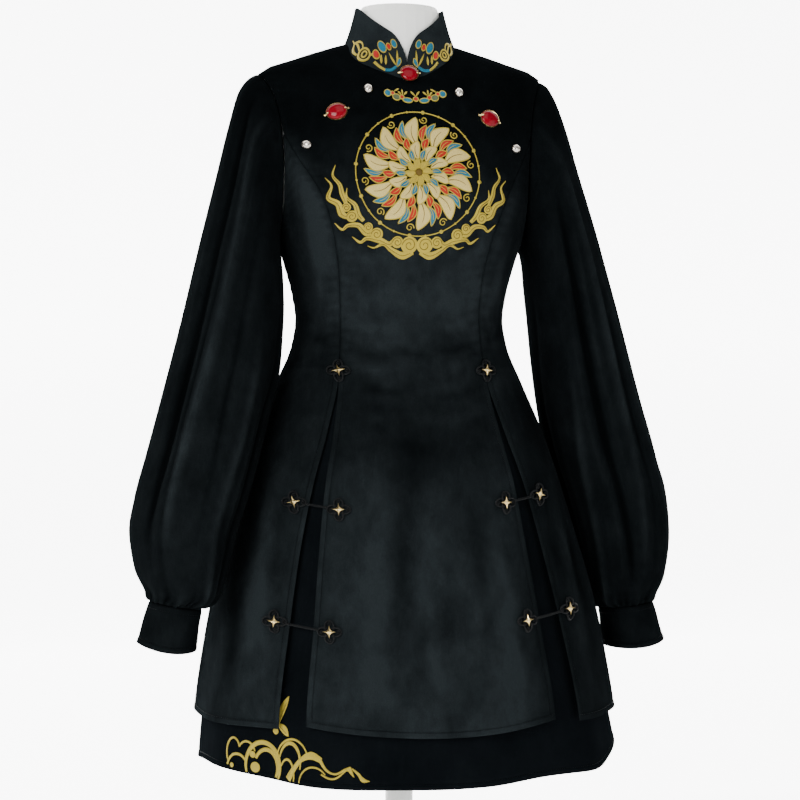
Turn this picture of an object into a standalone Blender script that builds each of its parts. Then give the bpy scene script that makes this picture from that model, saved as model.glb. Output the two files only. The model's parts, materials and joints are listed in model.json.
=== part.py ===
"""A short velvet qipao with bishop sleeves, on a limbless dress form with a round foot.

Metres, +Z up. The front faces -Y and the wearer's left is +X. The origin is the middle of the
foot, on the floor. Every piece of cloth is a closed wall on one worked-out surface, and what is
sewn on a panel stands on that panel's own points.
"""

import math

import bpy
import numpy as np

# Cloth and clearances
WALL = 0.0018
COLLAR_WALL = 0.0026
SEAM_GAP = 0.0003
LIFT = 0.0005

# Heights above the floor
HEM = 0.604
UNDERSKIRT_HEM = 0.550
UNDERSKIRT_TOP = 1.004
SLIT_TOP = 0.992
WAIST = 1.054
UNDERARM = 1.145
SHOULDER_TIP = 1.332
NECKLINE = 1.3688
COLLAR_TOP = 1.4108
NECK_TOP = 1.4115

# Armhole, half its width to the front and to the back
ARMHOLE_FRONT = 0.058
ARMHOLE_BACK = 0.060
ARMHOLE_STEPS = 14

# The worn body at rings from the hem to the neckline. A ring's height is taken at the side
# seam; the drops say how much lower it runs at the middle of the front and of the back.
BODY_COLUMNS = ("height", "half_width", "front", "back", "front_drop", "back_drop", "squareness")
BODY = (
    (0.550, 0.2440, 0.197, 0.197, 0.000, 0.000, 2.0),
    (0.617, 0.2385, 0.187, 0.188, 0.000, 0.000, 2.0),
    (0.674, 0.2305, 0.177, 0.179, 0.000, 0.000, 2.0),
    (0.734, 0.2195, 0.166, 0.169, 0.000, 0.000, 2.0),
    (0.827, 0.1950, 0.146, 0.154, 0.000, 0.000, 2.05),
    (0.920, 0.1665, 0.125, 0.135, 0.000, 0.000, 2.1),
    (0.981, 0.1418, 0.105, 0.112, 0.000, 0.000, 2.15),
    (1.025, 0.1238, 0.092, 0.087, 0.000, 0.000, 2.2),
    (1.054, 0.1195, 0.087, 0.078, 0.000, 0.000, 2.2),
    (1.0825, 0.1235, 0.091, 0.080, 0.000, 0.000, 2.2),
    (1.115, 0.1320, 0.101, 0.088, 0.000, 0.000, 2.2),
    (1.145, 0.1410, 0.112, 0.095, 0.000, 0.000, 2.25),
    (1.190, 0.1490, 0.120, 0.102, 0.002, 0.000, 2.3),
    (1.235, 0.1555, 0.115, 0.106, 0.006, 0.000, 2.3),
    (1.280, 0.1610, 0.101, 0.104, 0.012, 0.002, 2.3),
    (SHOULDER_TIP, 0.1630, 0.080, 0.085, 0.026, 0.008, 2.25),
    (1.351, 0.1190, 0.070, 0.072, 0.035, 0.008, 2.1),
    (NECKLINE, 0.0640, 0.058, 0.052, 0.0455, 0.002, 2.0),
)

# Bust points
BUST_OUT = 0.090
BUST_HEIGHT = 1.188
BUST_RISE = 0.009
BUST_WIDE = 0.036
BUST_TALL = 0.034

# Seam between front and side front, as its distance from the middle, from the hem to the armhole
PRINCESS_COLUMNS = ("height", "out")
PRINCESS = (
    (0.550, 0.1560),
    (0.620, 0.1520),
    (0.720, 0.1380),
    (0.790, 0.1270),
    (0.870, 0.1120),
    (0.930, 0.0960),
    (SLIT_TOP, 0.0830),
    (WAIST, 0.0795),
    (1.100, 0.0820),
    (1.140, 0.0890),
    (1.182, 0.1020),
    (1.208, 0.1140),
    (1.2325, 0.1280),
)
PRINCESS_TIP = 0.0012

# Opening of the slits, and how far the skirt hangs over to the wearer's left
SLIT_COLUMNS = ("height", "open", "sway")
SLIT = (
    (0.550, 0.0330, 0.010),
    (0.620, 0.0300, 0.008),
    (0.720, 0.0250, 0.006),
    (0.800, 0.0190, 0.004),
    (0.870, 0.0120, 0.003),
    (0.940, 0.0050, 0.001),
    (SLIT_TOP, 0.0000, 0.000),
    (1.100, 0.0000, 0.000),
)

# Soft flutes of the skirt: where each lies round the body in degrees from the front, how far it
# stands out at the hem and how wide it is in degrees
FLUTE_COLUMNS = ("angle", "out", "wide")
FLUTES = (
    (-147.0, 0.007, 13.0),
    (-126.0, -0.005, 10.0),
    (-101.0, 0.006, 9.0),
    (-72.0, 0.006, 10.0),
    (-54.0, -0.004, 8.0),
    (-14.0, -0.003, 12.0),
    (20.0, 0.003, 10.0),
    (58.0, 0.005, 9.0),
    (80.0, 0.003, 8.0),
    (112.0, 0.006, 12.0),
    (150.0, -0.004, 12.0),
    (176.0, 0.006, 11.0),
)
FLUTE_TOP = 0.960

# How far the outer layer's hem rises, at the apron's corners and round the sides and back
APRON_RISE = 0.011
SIDE_HEM_RISE = 0.006

# Space from the outer layer's face to the underskirt's, at the front and at the sides
UNDERSKIRT_COLUMNS = ("height", "at_front", "at_side")
UNDERSKIRT = (
    (UNDERSKIRT_HEM, 0.0130, 0.0085),
    (0.660, 0.0100, 0.0095),
    (0.734, 0.0085, 0.0095),
    (0.827, 0.0070, 0.0070),
    (0.920, 0.0050, 0.0050),
    (UNDERSKIRT_TOP, 0.0027, 0.0027),
)

UNDERSKIRT_ROWS = (0.600, 0.625, 0.660, 0.734, 0.827, 0.920, 0.960)
UNDERSKIRT_POINTS = 19
UNDERSKIRT_GAP = 1.3

# Rises of the underskirt's hem by degrees from the front, and its kick at the wearer's left
RISE_COLUMNS = ("angle", "up", "wide")
RISES = (
    (-76.0, 0.0120, 24.0),
    (38.0, 0.0052, 20.0),
    (90.0, 0.0270, 18.0),
)
FLARE_ANGLE = 90.0
FLARE_WIDE = 18.0
FLARE_OUT = 0.014
FLARE_TOP = 0.625

# Sleeves: each row is a section, by its outer and inner point as seen from the front, half its
# depth to the front and to the back, and how far it swings forward
SLEEVE_COLUMNS = ("outer_x", "outer_z", "inner_x", "inner_z", "front", "back", "forward")
SLEEVE_R = (
    (0.1630, 1.3318, 0.1413, 1.1453, 0.058, 0.060, 0.000),
    (0.1730, 1.3270, 0.1410, 1.1300, 0.061, 0.061, 0.001),
    (0.1845, 1.3130, 0.1390, 1.1165, 0.064, 0.063, 0.004),
    (0.1977, 1.2700, 0.1365, 1.0990, 0.067, 0.066, 0.009),
    (0.2126, 1.2110, 0.1360, 1.0700, 0.070, 0.069, 0.016),
    (0.2332, 1.1305, 0.1385, 1.0300, 0.073, 0.072, 0.024),
    (0.2517, 1.0550, 0.1430, 0.9900, 0.075, 0.074, 0.032),
    (0.2757, 0.9650, 0.1550, 0.9450, 0.077, 0.076, 0.043),
    (0.2915, 0.9080, 0.1660, 0.9020, 0.079, 0.077, 0.051),
    (0.3060, 0.8560, 0.1795, 0.8560, 0.080, 0.078, 0.058),
    (0.3120, 0.8200, 0.1930, 0.8180, 0.078, 0.076, 0.063),
    (0.3060, 0.7800, 0.2040, 0.7760, 0.069, 0.067, 0.066),
    (0.2930, 0.7540, 0.2160, 0.7450, 0.050, 0.048, 0.068),
    (0.2905, 0.7440, 0.2325, 0.7340, 0.032, 0.032, 0.068),
)
SLEEVE_L = (
    (0.1630, 1.3318, 0.1413, 1.1453, 0.058, 0.060, 0.000),
    (0.1720, 1.3270, 0.1440, 1.1330, 0.061, 0.061, 0.000),
    (0.1800, 1.3150, 0.1480, 1.1210, 0.064, 0.063, -0.001),
    (0.1930, 1.2800, 0.1500, 1.1000, 0.067, 0.066, -0.003),
    (0.2085, 1.2300, 0.1525, 1.0750, 0.070, 0.069, -0.007),
    (0.2325, 1.1560, 0.1565, 1.0350, 0.073, 0.072, -0.012),
    (0.2587, 1.0700, 0.1620, 0.9900, 0.075, 0.074, -0.018),
    (0.2890, 0.9660, 0.1700, 0.9420, 0.077, 0.076, -0.024),
    (0.3092, 0.9013, 0.1810, 0.8950, 0.079, 0.077, -0.028),
    (0.3200, 0.8550, 0.1960, 0.8500, 0.080, 0.078, -0.030),
    (0.3220, 0.8000, 0.2120, 0.8000, 0.078, 0.076, -0.030),
    (0.3212, 0.7600, 0.2230, 0.7580, 0.069, 0.067, -0.030),
    (0.3135, 0.7330, 0.2340, 0.7270, 0.050, 0.048, -0.030),
    (0.3112, 0.7240, 0.2465, 0.7160, 0.033, 0.033, -0.030),
)
SLEEVE_RINGS = 17
ARMHOLE_BLEND = 0.22

# Long folds of a sleeve: the angle from its outer side towards the front at each end, in
# degrees, where along the sleeve it runs, how far it stands out and how wide it is in degrees
FOLD_COLUMNS = ("angle_top", "angle_low", "start", "end", "out", "wide")
FOLDS_R = (
    (62.0, 68.0, 0.04, 0.80, 0.0085, 12.0),
    (38.0, 44.0, 0.10, 0.85, -0.0075, 14.0),
    (112.0, 120.0, 0.42, 0.97, 0.0070, 14.0),
    (148.0, 150.0, 0.35, 0.90, -0.0060, 14.0),
    (208.0, 215.0, 0.20, 0.92, -0.0055, 15.0),
    (246.0, 244.0, 0.12, 0.86, 0.0065, 14.0),
    (284.0, 280.0, 0.06, 0.88, -0.0065, 14.0),
    (322.0, 328.0, 0.10, 0.92, 0.0065, 14.0),
)
FOLDS_L = (
    (66.0, 76.0, 0.03, 0.82, 0.0080, 12.0),
    (92.0, 98.0, 0.20, 0.88, -0.0070, 13.0),
    (50.0, 38.0, 0.40, 0.90, 0.0070, 13.0),
    (118.0, 136.0, 0.44, 0.97, 0.0070, 13.0),
    (165.0, 168.0, 0.30, 0.90, -0.0060, 14.0),
    (205.0, 202.0, 0.18, 0.92, -0.0055, 15.0),
    (240.0, 246.0, 0.12, 0.88, 0.0065, 14.0),
    (296.0, 292.0, 0.05, 0.86, 0.0065, 14.0),
)
FOLD_POWER = 0.7
GATHER_POWER = 1.5
GATHERS = 8
GATHER_OUT = 0.0042
GATHER_START = 0.80
GATHER_END = 0.06
GATHER_TURN = 0.6

# Cuffs
CUFF_HEIGHT = 0.045
CUFF_ROWS = (0.0, 0.35, 0.7, 1.0)
CUFF_FLARE = 1.12
CUFF_LEAN = 0.010
CUFF_FRONT_DROP = 0.004
CUFF_STEPS = 24

# Collar: its height round the neck, its lean, and the rounded corners of its front V
COLLAR_LOW = 0.015
COLLAR_CORNER = 0.024
COLLAR_LEAN = 0.0135
LEAN_POWER = 0.8
COLLAR_SWELL = 0.0070
SWELL_END = math.radians(64.0)
SWELL_FULL = math.radians(20.0)
COLLAR_RADIUS = 0.060
COLLAR_ROWS = 4
COLLAR_GAP = 1.1
COLLAR_EXTRA = (2.5, 5.0, 9.0, 22.5)

# Frog fastenings: a knot's centre from its panel's edge, and the heights of the pairs
KNOT_RADIUS = 0.0130
KNOT_LOBES = 4
KNOT_WAIST = 0.20
KNOT_HEIGHT = 0.0030
KNOT_IN_FRONT = 0.0170
KNOT_IN_SIDE = 0.0145
TOP_KNOT_HEIGHT = 0.9950
PAIR_COLUMNS = ("name", "front_height", "side_height", "right_lower")
PAIRS = (
    ("mid", 0.8500, 0.8570, 0.0055),
    ("low", 0.7225, 0.7310, 0.0075),
)
CORD_RADIUS = 0.0016
CORD_SIDES = 6
CORD_STEPS = 5
CORD_BOW = 0.0010
STAR_REACH = 0.0078
STAR_WAIST = 0.0027
STAR_HEIGHT = 0.0022

# Ornaments on the chest and the collar seam
THROAT_HEIGHT = 1.329
THROAT_OUT = 0.0615
THROAT_SLANT = 0.50
JEWEL_COLUMNS = ("name", "out", "height", "half_wide", "half_tall", "turn")
JEWELS = (
    ("neck", 0.000, THROAT_HEIGHT, 0.0095, 0.0085, 0.0),
    ("r", -0.0858, 1.2803, 0.0105, 0.0083, 18.0),
    ("l", 0.0860, 1.2760, 0.0100, 0.0085, -18.0),
)
JEWEL_RISE = 0.0050
JEWEL_SIDES = 14
RIM_SHARE = 1.04
JEWEL_RIM = 0.0014
JEWEL_RIM_HEIGHT = 0.0022
DOME_COLUMNS = ("name", "out", "height")
DOMES = (
    ("upper_r", -0.0498, 1.3070),
    ("upper_l", 0.0527, 1.3050),
    ("lower_r", -0.1180, 1.2438),
    ("lower_l", 0.1170, 1.2440),
)
DOME_RADIUS = 0.0050
DOME_SIDES = 10

# Dress form, its pole and its foot
FORM_COLUMNS = ("height", "inside")
FORM = (
    (0.862, 0.0400),
    (0.900, 0.0230),
    (0.950, 0.0130),
    (1.000, 0.0075),
    (WAIST, 0.0055),
    (1.150, 0.0055),
    (1.250, 0.0055),
    (1.300, 0.0070),
    (SHOULDER_TIP, 0.0070),
    (1.342, WALL + 0.0007),
    (NECKLINE, WALL + 0.0007),
)
FORM_LOW = 0.850
FORM_LOW_SHARE = 0.70
FORM_LOWER = (0.862, 0.890, 0.925, 0.975, 1.020, WAIST, 1.090, 1.130, 1.165, 1.195)
FORM_UPPER = (1.230, 1.265, 1.295, 1.316, 1.326)
NECK_HALF_WIDTH = 0.0460
NECK_FRONT = 0.0410
NECK_BACK = 0.0350
NECK_COLUMNS = ("height", "size", "front_drop")
NECK = (
    (1.3640, 1.10, 0.0420),
    (1.3760, 1.03, 0.0300),
    (1.4060, 1.00, 0.0030),
    (NECK_TOP, 0.94, 0.0000),
)
FORM_FRONT_STEPS = 12
FORM_BACK_STEPS = 16
POLE_RADIUS = 0.016
FOOT_RADIUS = 0.160
FOOT_HEIGHT = 0.014
FOOT_EDGE = 0.004
FOOT_SIDES = 32
POLE_SIDES = 16

# Rows of each body panel below the armhole
SKIRT_ROWS = (0.640, 0.690, 0.740, 0.790, 0.840, 0.885, 0.925, 0.960)
BODICE_ROWS = (SLIT_TOP, 1.022, WAIST, 1.085, 1.116)
SHOULDER_ROWS = (1.342, 1.351, 1.360, NECKLINE)
JOIN_STEP = 6

# Points across each body panel
FRONT_POINTS = 13
SIDE_POINTS = 6
BACK_POINTS = 9

STEP = 1e-4


def named(table, columns):
    """The rows of a table, each by its column names."""
    return [dict(zip(columns, row)) for row in table]


def smooth(table, columns, name, at):
    """A column of a table as a smooth curve that never overshoots its rows."""
    rows = np.array(table, float)
    x, y = rows[:, 0], rows[:, columns.index(name)]
    gap = np.diff(x)
    slope = np.diff(y) / gap
    tangent = np.zeros(len(x))
    tangent[0], tangent[-1] = slope[0], slope[-1]
    same = slope[:-1] * slope[1:] > 0
    low, high = slope[:-1][same], slope[1:][same]
    tangent[1:-1][same] = 2 * low * high / (low + high)
    i = np.clip(np.searchsorted(x, at, side="right") - 1, 0, len(x) - 2)
    t = (at - x[i]) / gap[i]
    inside = (
        (2 * t**3 - 3 * t**2 + 1) * y[i]
        + (t**3 - 2 * t**2 + t) * gap[i] * tangent[i]
        + (3 * t**2 - 2 * t**3) * y[i + 1]
        + (t**3 - t**2) * gap[i] * tangent[i + 1]
    )
    before = y[0] + (at - x[0]) * tangent[0]
    after = y[-1] + (at - x[-1]) * tangent[-1]
    return np.where(t < 0, before, np.where(t > 1, after, inside))


def body_row(level):
    """The body's sizes at a level, by column name."""
    return {name: smooth(BODY, BODY_COLUMNS, name, level) for name in BODY_COLUMNS[1:]}


def bump(away, wide):
    """A soft bump round a turn of 360 degrees, one at its middle."""
    away = (away + 180) % 360 - 180
    return np.exp(-((away / wide) ** 2))


def flutes(angle, level):
    """How far the skirt's flutes stand out."""
    grow = np.clip((FLUTE_TOP - level) / (FLUTE_TOP - HEM), 0, 1.2) ** 1.4
    out = np.zeros(np.broadcast(angle, level).shape)
    for row in named(FLUTES, FLUTE_COLUMNS):
        out = out + row["out"] * bump(np.degrees(angle) - row["angle"], row["wide"])
    return out * grow


def body_surface(angle, level):
    """A point of the cloth's outer face: angle from the middle front towards the wearer's left."""
    angle, level = np.broadcast_arrays(np.asarray(angle, float), np.asarray(level, float))
    row = body_row(level)
    s, c = np.sin(angle), np.cos(angle)
    depth = np.where(c >= 0, row["front"], row["back"])
    drop = np.where(c >= 0, row["front_drop"], row["back_drop"]) * c**2
    n = row["squareness"]
    reach = ((np.abs(s) / row["half_width"]) ** n + (np.abs(c) / depth) ** n) ** (-1 / n)
    reach = reach + flutes(angle, level)
    x = reach * s + smooth(SLIT, SLIT_COLUMNS, "sway", level)
    y, z = -reach * c, level - drop
    away = ((np.abs(x) - BUST_OUT) / BUST_WIDE) ** 2 + ((z - BUST_HEIGHT) / BUST_TALL) ** 2
    y = y - np.where(c > 0, BUST_RISE * np.exp(-away), 0)
    return np.stack([x, y, z], -1)


def outward(surface, u, v):
    """Unit normals of a surface of two values, facing out."""
    across = surface(u + STEP, v) - surface(u - STEP, v)
    along = surface(u, v + STEP) - surface(u, v - STEP)
    normal = np.cross(across, along)
    return normal / np.linalg.norm(normal, axis=-1, keepdims=True)


def angle_at(out, level):
    """The angle of a point of the body's front that lies so far out from the middle."""
    row = body_row(level)
    share = np.clip(np.abs(out) / row["half_width"], 0, 1)
    depth = row["front"] * (1 - share ** row["squareness"]) ** (1 / row["squareness"])
    return np.arctan2(out, depth)


def armhole_level(turn, trim=0.0):
    """The ring level of an armhole point; turn is 0 at the shoulder and 180 at the underarm."""
    middle, half = (SHOULDER_TIP + UNDERARM) / 2, (SHOULDER_TIP - UNDERARM) / 2
    return middle + (half - trim) * np.cos(turn)


def armhole_angle(turn, back=False, trim=0.0):
    """The body angle of an armhole point on the wearer's left."""
    width = (ARMHOLE_BACK if back else ARMHOLE_FRONT) - trim
    row = body_row(armhole_level(turn, trim))
    depth = row["back" if back else "front"]
    n = row["squareness"]
    y = width * np.abs(np.sin(turn))
    x = row["half_width"] * (1 - (y / depth) ** n) ** (1 / n)
    return np.arctan2(x, -y if back else y)


def princess_angle(level):
    """The angle of the seam between front and side front, before the slit opens."""
    join = armhole_level(math.pi * JOIN_STEP / ARMHOLE_STEPS)
    edge = armhole_angle(math.pi * JOIN_STEP / ARMHOLE_STEPS)
    top = body_surface(edge, join)[0] - PRINCESS_TIP
    return angle_at(smooth(PRINCESS + ((join, top),), PRINCESS_COLUMNS, "out", level), level)


def held_back(level):
    """Half of a seam's gap, as an angle."""
    return SEAM_GAP / 2 / smooth(BODY, BODY_COLUMNS, "front", level)


def slit_angle(level):
    """Half of the slit's opening, as an angle, with the seam's gap."""
    open_by = smooth(SLIT, SLIT_COLUMNS, "open", level)
    return np.maximum(open_by, SEAM_GAP) / 2 / smooth(BODY, BODY_COLUMNS, "front", level)


def link(rows, columns, closed):
    """Faces of a wall: its outer face, its inner face and the strips round its edges."""
    count = rows * columns
    faces = []
    last = columns if closed else columns - 1
    for r in range(rows - 1):
        for c in range(last):
            a, b = r * columns + c, r * columns + (c + 1) % columns
            faces.append((a, b, b + columns, a + columns))
            faces.append((count + a, count + a + columns, count + b + columns, count + b))
    for c in range(last):
        a, b = c, (c + 1) % columns
        faces.append((a, count + a, count + b, b))
        top = (rows - 1) * columns
        faces.append((top + a, top + b, count + top + b, count + top + a))
    if not closed:
        for r in range(rows - 1):
            a, b = r * columns, (r + 1) * columns
            faces.append((a, b, count + b, count + a))
            a, b = a + columns - 1, b + columns - 1
            faces.append((a, count + a, count + b, b))
    return faces


def wall(name, outer, inner, finish, closed=False, flipped=False):
    """A closed wall between two grids of points of the same rows and columns."""
    rows, columns = outer.shape[:2]
    points = np.concatenate([outer.reshape(-1, 3), inner.reshape(-1, 3)])
    faces = link(rows, columns, closed)
    if flipped:
        faces = [face[::-1] for face in faces]
    return solid(name, points, faces, finish)


def solid(name, points, faces, finish):
    """A named object from points and faces, shaded smooth up to a sharp angle."""
    mesh = bpy.data.meshes.new(name)
    mesh.from_pydata([tuple(map(float, p)) for p in points], [], [tuple(f) for f in faces])
    mesh.shade_smooth()
    mesh.set_sharp_from_angle(angle=math.radians(40))
    mesh.materials.append(finish)
    made = bpy.data.objects.new(name, mesh)
    bpy.context.scene.collection.objects.link(made)
    return made


def look(name, colour, roughness, metallic=0.0):
    """A plain surface for one kind of material."""
    made = bpy.data.materials.new(name)
    made.use_nodes = True
    shader = made.node_tree.nodes["Principled BSDF"]
    shader.inputs["Base Color"].default_value = (*colour, 1)
    shader.inputs["Roughness"].default_value = roughness
    shader.inputs["Metallic"].default_value = metallic
    return made


def body_panel(name, levels, low_edge, high_edge, hem_rise, cloth):
    """A panel of the body between two seam angles, one for each level."""
    share = np.linspace(0, 1, len(hem_rise))
    level = np.repeat(levels[:, None], len(share), 1)
    level[0] += hem_rise
    angle = low_edge[:, None] + (high_edge - low_edge)[:, None] * share
    face = body_surface(angle, level)
    back = face - WALL * outward(body_surface, angle, level)
    return wall(name, face, back, cloth)


def armhole_turns(count):
    """Turns round half an armhole, from the underarm up, ends left out."""
    return np.pi * (1 - np.arange(1, count) / ARMHOLE_STEPS)


def body_levels():
    """Levels of the body panels, with the armhole's own steps between underarm and shoulder."""
    steps = armhole_level(armhole_turns(ARMHOLE_STEPS))
    return np.array([HEM, *SKIRT_ROWS, *BODICE_ROWS, UNDERARM, *steps, SHOULDER_TIP, *SHOULDER_ROWS])


def side_edge(levels, back):
    """The outer limit of a front or back panel on the wearer's left: side seam, armhole, shoulder."""
    edge = np.full(len(levels), math.pi / 2)
    first = int(np.searchsorted(levels, UNDERARM + 1e-6))
    turns = armhole_turns(ARMHOLE_STEPS)
    edge[first : first + len(turns)] = armhole_angle(turns, back)
    gap = held_back(levels)
    return edge + gap if back else edge - gap


def make_fronts(cloth):
    """The front from shoulders to hem, and the side fronts that meet it at the princess seams."""
    levels = body_levels()
    side = side_edge(levels, back=False)
    join = int(np.searchsorted(levels, UNDERARM + 1e-6)) + ARMHOLE_STEPS - JOIN_STEP - 1
    seam = princess_angle(levels)
    inner = np.where(np.arange(len(levels)) <= join, seam - slit_angle(levels), side)
    rise = APRON_RISE * np.linspace(-1, 1, FRONT_POINTS) ** 2
    body_panel("front_centre", levels, -inner, inner, rise, cloth)
    rows = slice(0, join + 1)
    near = (seam + slit_angle(levels))[rows]
    far = side[rows]
    rise = np.full(SIDE_POINTS, SIDE_HEM_RISE)
    body_panel("side_front_l", levels[rows], near, far, rise, cloth)
    body_panel("side_front_r", levels[rows], -far, -near, rise, cloth)


def make_backs(cloth):
    """The backs, which meet at a seam down the middle."""
    levels = body_levels()
    side = side_edge(levels, back=True)
    middle = math.pi - held_back(levels)
    rise = np.full(BACK_POINTS, SIDE_HEM_RISE)
    body_panel("back_l", levels, side, middle, rise, cloth)
    body_panel("back_r", levels, -middle, -side, rise, cloth)


def kick(angle):
    """The share of the underskirt's kick at an angle."""
    return bump(np.degrees(angle) - FLARE_ANGLE, FLARE_WIDE)


def underskirt_surface(angle, level):
    """The underskirt's outer face, inside the outer layer and kicked out at one side."""
    face = body_surface(angle, level)
    at_front = smooth(UNDERSKIRT, UNDERSKIRT_COLUMNS, "at_front", level)
    at_side = smooth(UNDERSKIRT, UNDERSKIRT_COLUMNS, "at_side", level)
    inside = at_front + (at_side - at_front) * np.sin(angle) ** 2
    grow = np.clip((FLARE_TOP - level) / (FLARE_TOP - UNDERSKIRT_HEM), 0, 1)
    flare = FLARE_OUT * kick(angle) * grow
    return face + (flare - inside)[..., None] * outward(body_surface, angle, level)


def hem_lift(angle):
    """How far the underskirt's hem rises."""
    return sum(row["up"] * bump(np.degrees(angle) - row["angle"], row["wide"]) for row in named(RISES, RISE_COLUMNS))


def make_underskirt(cloth):
    """The plain skirt that shows in the slits and below the outer layer."""
    levels = np.array([UNDERSKIRT_HEM, *UNDERSKIRT_ROWS, UNDERSKIRT_TOP])
    gap = float(held_back(SLIT_TOP)) * UNDERSKIRT_GAP
    for name, start in (("underskirt_front", -math.pi / 2), ("underskirt_back", math.pi / 2)):
        turn = np.linspace(start + gap, start + math.pi - gap, UNDERSKIRT_POINTS)
        angle, level = np.meshgrid(turn, levels)
        level[0] += hem_lift(turn)
        face = underskirt_surface(angle, level)
        back = face - WALL * outward(underskirt_surface, angle, level)
        wall(name, face, back, cloth)


def mirrored(points, side):
    """Points of a wearer's left piece, turned over for the right side."""
    return points * np.array([side, 1, 1])


def sleeve_section(table, turn, along):
    """A sleeve's plain section: turn runs from its outer side through the front."""
    count = len(table) - 1
    rows = tuple((i / count, *row) for i, row in enumerate(table))
    at = {name: smooth(rows, ("along",) + SLEEVE_COLUMNS, name, along) for name in SLEEVE_COLUMNS}
    middle_x, middle_z = (at["outer_x"] + at["inner_x"]) / 2, (at["outer_z"] + at["inner_z"]) / 2
    c, s = np.cos(turn), np.sin(turn)
    depth = np.where(s >= 0, at["front"], at["back"])
    x = middle_x + (at["outer_x"] - middle_x) * c
    z = middle_z + (at["outer_z"] - middle_z) * c
    return np.stack([x, -at["forward"] - depth * s, z], -1)


def armhole_ring(turn):
    """The sleeve's first edge, just inside the armhole's."""
    turn = np.mod(turn, 2 * math.pi)
    behind = turn > math.pi
    half = np.where(behind, 2 * math.pi - turn, turn)
    front = armhole_angle(half, False, SEAM_GAP)
    back = armhole_angle(half, True, SEAM_GAP)
    return body_surface(np.where(behind, back, front), armhole_level(half, SEAM_GAP))


def sleeve_surface(table):
    """A sleeve's smooth face as a function of turn and of the place along it."""

    def surface(turn, along):
        plain = sleeve_section(table, turn, along)
        blend = np.clip(1 - along / ARMHOLE_BLEND, 0, 1)
        blend = (blend**2 * (3 - 2 * blend))[..., None]
        start = armhole_ring(turn) - sleeve_section(table, turn, np.zeros_like(along))
        return plain + blend * start

    return surface


def sleeve_folds(folds, turn, along):
    """How far a sleeve's long folds and the gathers above its cuff stand out."""
    out = np.zeros(np.broadcast(turn, along).shape)
    for row in named(folds, FOLD_COLUMNS):
        share = np.clip((along - row["start"]) / (row["end"] - row["start"]), 0, 1)
        middle = row["angle_top"] + (row["angle_low"] - row["angle_top"]) * share
        grow = np.sin(math.pi * share) ** FOLD_POWER
        out = out + row["out"] * grow * bump(np.degrees(turn) - middle, row["wide"])
    gather = np.clip((along - GATHER_START) / (1 - GATHER_START), 0, 1) ** GATHER_POWER
    gather = gather * np.clip((1 - along) / GATHER_END, 0, 1)
    return out + GATHER_OUT * gather * np.cos(GATHERS * turn + GATHER_TURN)


def make_sleeve(name, table, folds, side, cloth):
    """A bishop sleeve, set in at the armhole and gathered onto its cuff."""
    turn = np.arange(2 * ARMHOLE_STEPS) * math.pi / ARMHOLE_STEPS
    along = np.linspace(0, 1, SLEEVE_RINGS) ** 1.05
    turn, along = np.meshgrid(turn, along)
    surface = sleeve_surface(table)
    normal = outward(surface, turn, along)
    raised = sleeve_folds(folds, turn, along)[..., None]
    face = surface(turn, along) + raised * normal
    back = face - WALL * normal
    return wall(name, mirrored(face, side), mirrored(back, side), cloth, True, side < 0)


def make_cuff(name, table, side, cloth):
    """A deep plain cuff below the sleeve, a little wider at its lower edge."""
    row = dict(zip(SLEEVE_COLUMNS, table[-1]))
    turn = np.arange(CUFF_STEPS) * 2 * math.pi / CUFF_STEPS
    share = np.array(CUFF_ROWS)[:, None]
    size = 1 + (CUFF_FLARE - 1) * share
    drop = CUFF_HEIGHT * share + SEAM_GAP
    half_x, half_z = (row["outer_x"] - row["inner_x"]) / 2, (row["outer_z"] - row["inner_z"]) / 2
    x = row["inner_x"] + half_x + CUFF_LEAN * share + size * half_x * np.cos(turn)
    y = -row["forward"] - size * row["front"] * np.sin(turn)
    z = row["inner_z"] + half_z * (1 + np.cos(turn)) - drop - CUFF_FRONT_DROP * share * np.sin(turn) ** 2
    face = np.stack([x, y, z], -1)
    radial = face - face.mean(axis=1, keepdims=True)
    radial[..., 2] = 0
    radial /= np.linalg.norm(radial, axis=-1, keepdims=True)
    back = face - WALL * radial
    return wall(name, mirrored(face, side), mirrored(back, side), cloth, True, side < 0)


def collar_height(angle):
    """The collar's height above the neckline: a low middle front between rounded corners."""
    reach = np.abs(angle) * COLLAR_RADIUS
    share = np.clip(1 - reach / COLLAR_CORNER, 0, 1)
    aside = np.clip((SWELL_END - np.abs(angle)) / (SWELL_END - SWELL_FULL), 0, 1)
    tall = COLLAR_TOP - NECKLINE + COLLAR_SWELL * aside**2 * (3 - 2 * aside)
    return COLLAR_LOW + (tall - COLLAR_LOW) * np.sqrt(1 - share**2)


def neckline_turns():
    """Angles of the panels' own points along half of the neckline."""
    front = np.linspace(-math.pi / 2, math.pi / 2, FRONT_POINTS)
    back = np.linspace(math.pi / 2, math.pi, BACK_POINTS)
    return np.concatenate([front[front > -STEP], back[1:]])


def neckline(angle):
    """The panels' edge at the neck, straight between their points."""
    turns = neckline_turns()
    edge = body_surface(turns, NECKLINE)
    return np.stack([np.interp(angle, turns, edge[:, axis]) for axis in range(3)], -1)


def collar_surface(angle, share):
    """The collar's outer face, from the neckline at 0 to its top edge at 1."""
    rise = collar_height(angle) * share
    inward = np.stack([-np.sin(angle), np.cos(angle), np.zeros_like(angle)], -1)
    lean = COLLAR_LEAN * np.minimum(rise / (COLLAR_TOP - NECKLINE), 1) ** LEAN_POWER
    up = np.stack([np.zeros_like(rise), np.zeros_like(rise), rise + SEAM_GAP], -1)
    return neckline(angle) + up + lean[..., None] * inward


def collar_normal(angle):
    """The direction in which the collar's face looks: out from the neck and a little up."""
    slope = math.atan2(COLLAR_LEAN, COLLAR_TOP - NECKLINE)
    across, up = math.cos(slope), np.full(np.shape(angle), math.sin(slope))
    return np.stack([across * np.sin(angle), -across * np.cos(angle), up], -1)


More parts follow.
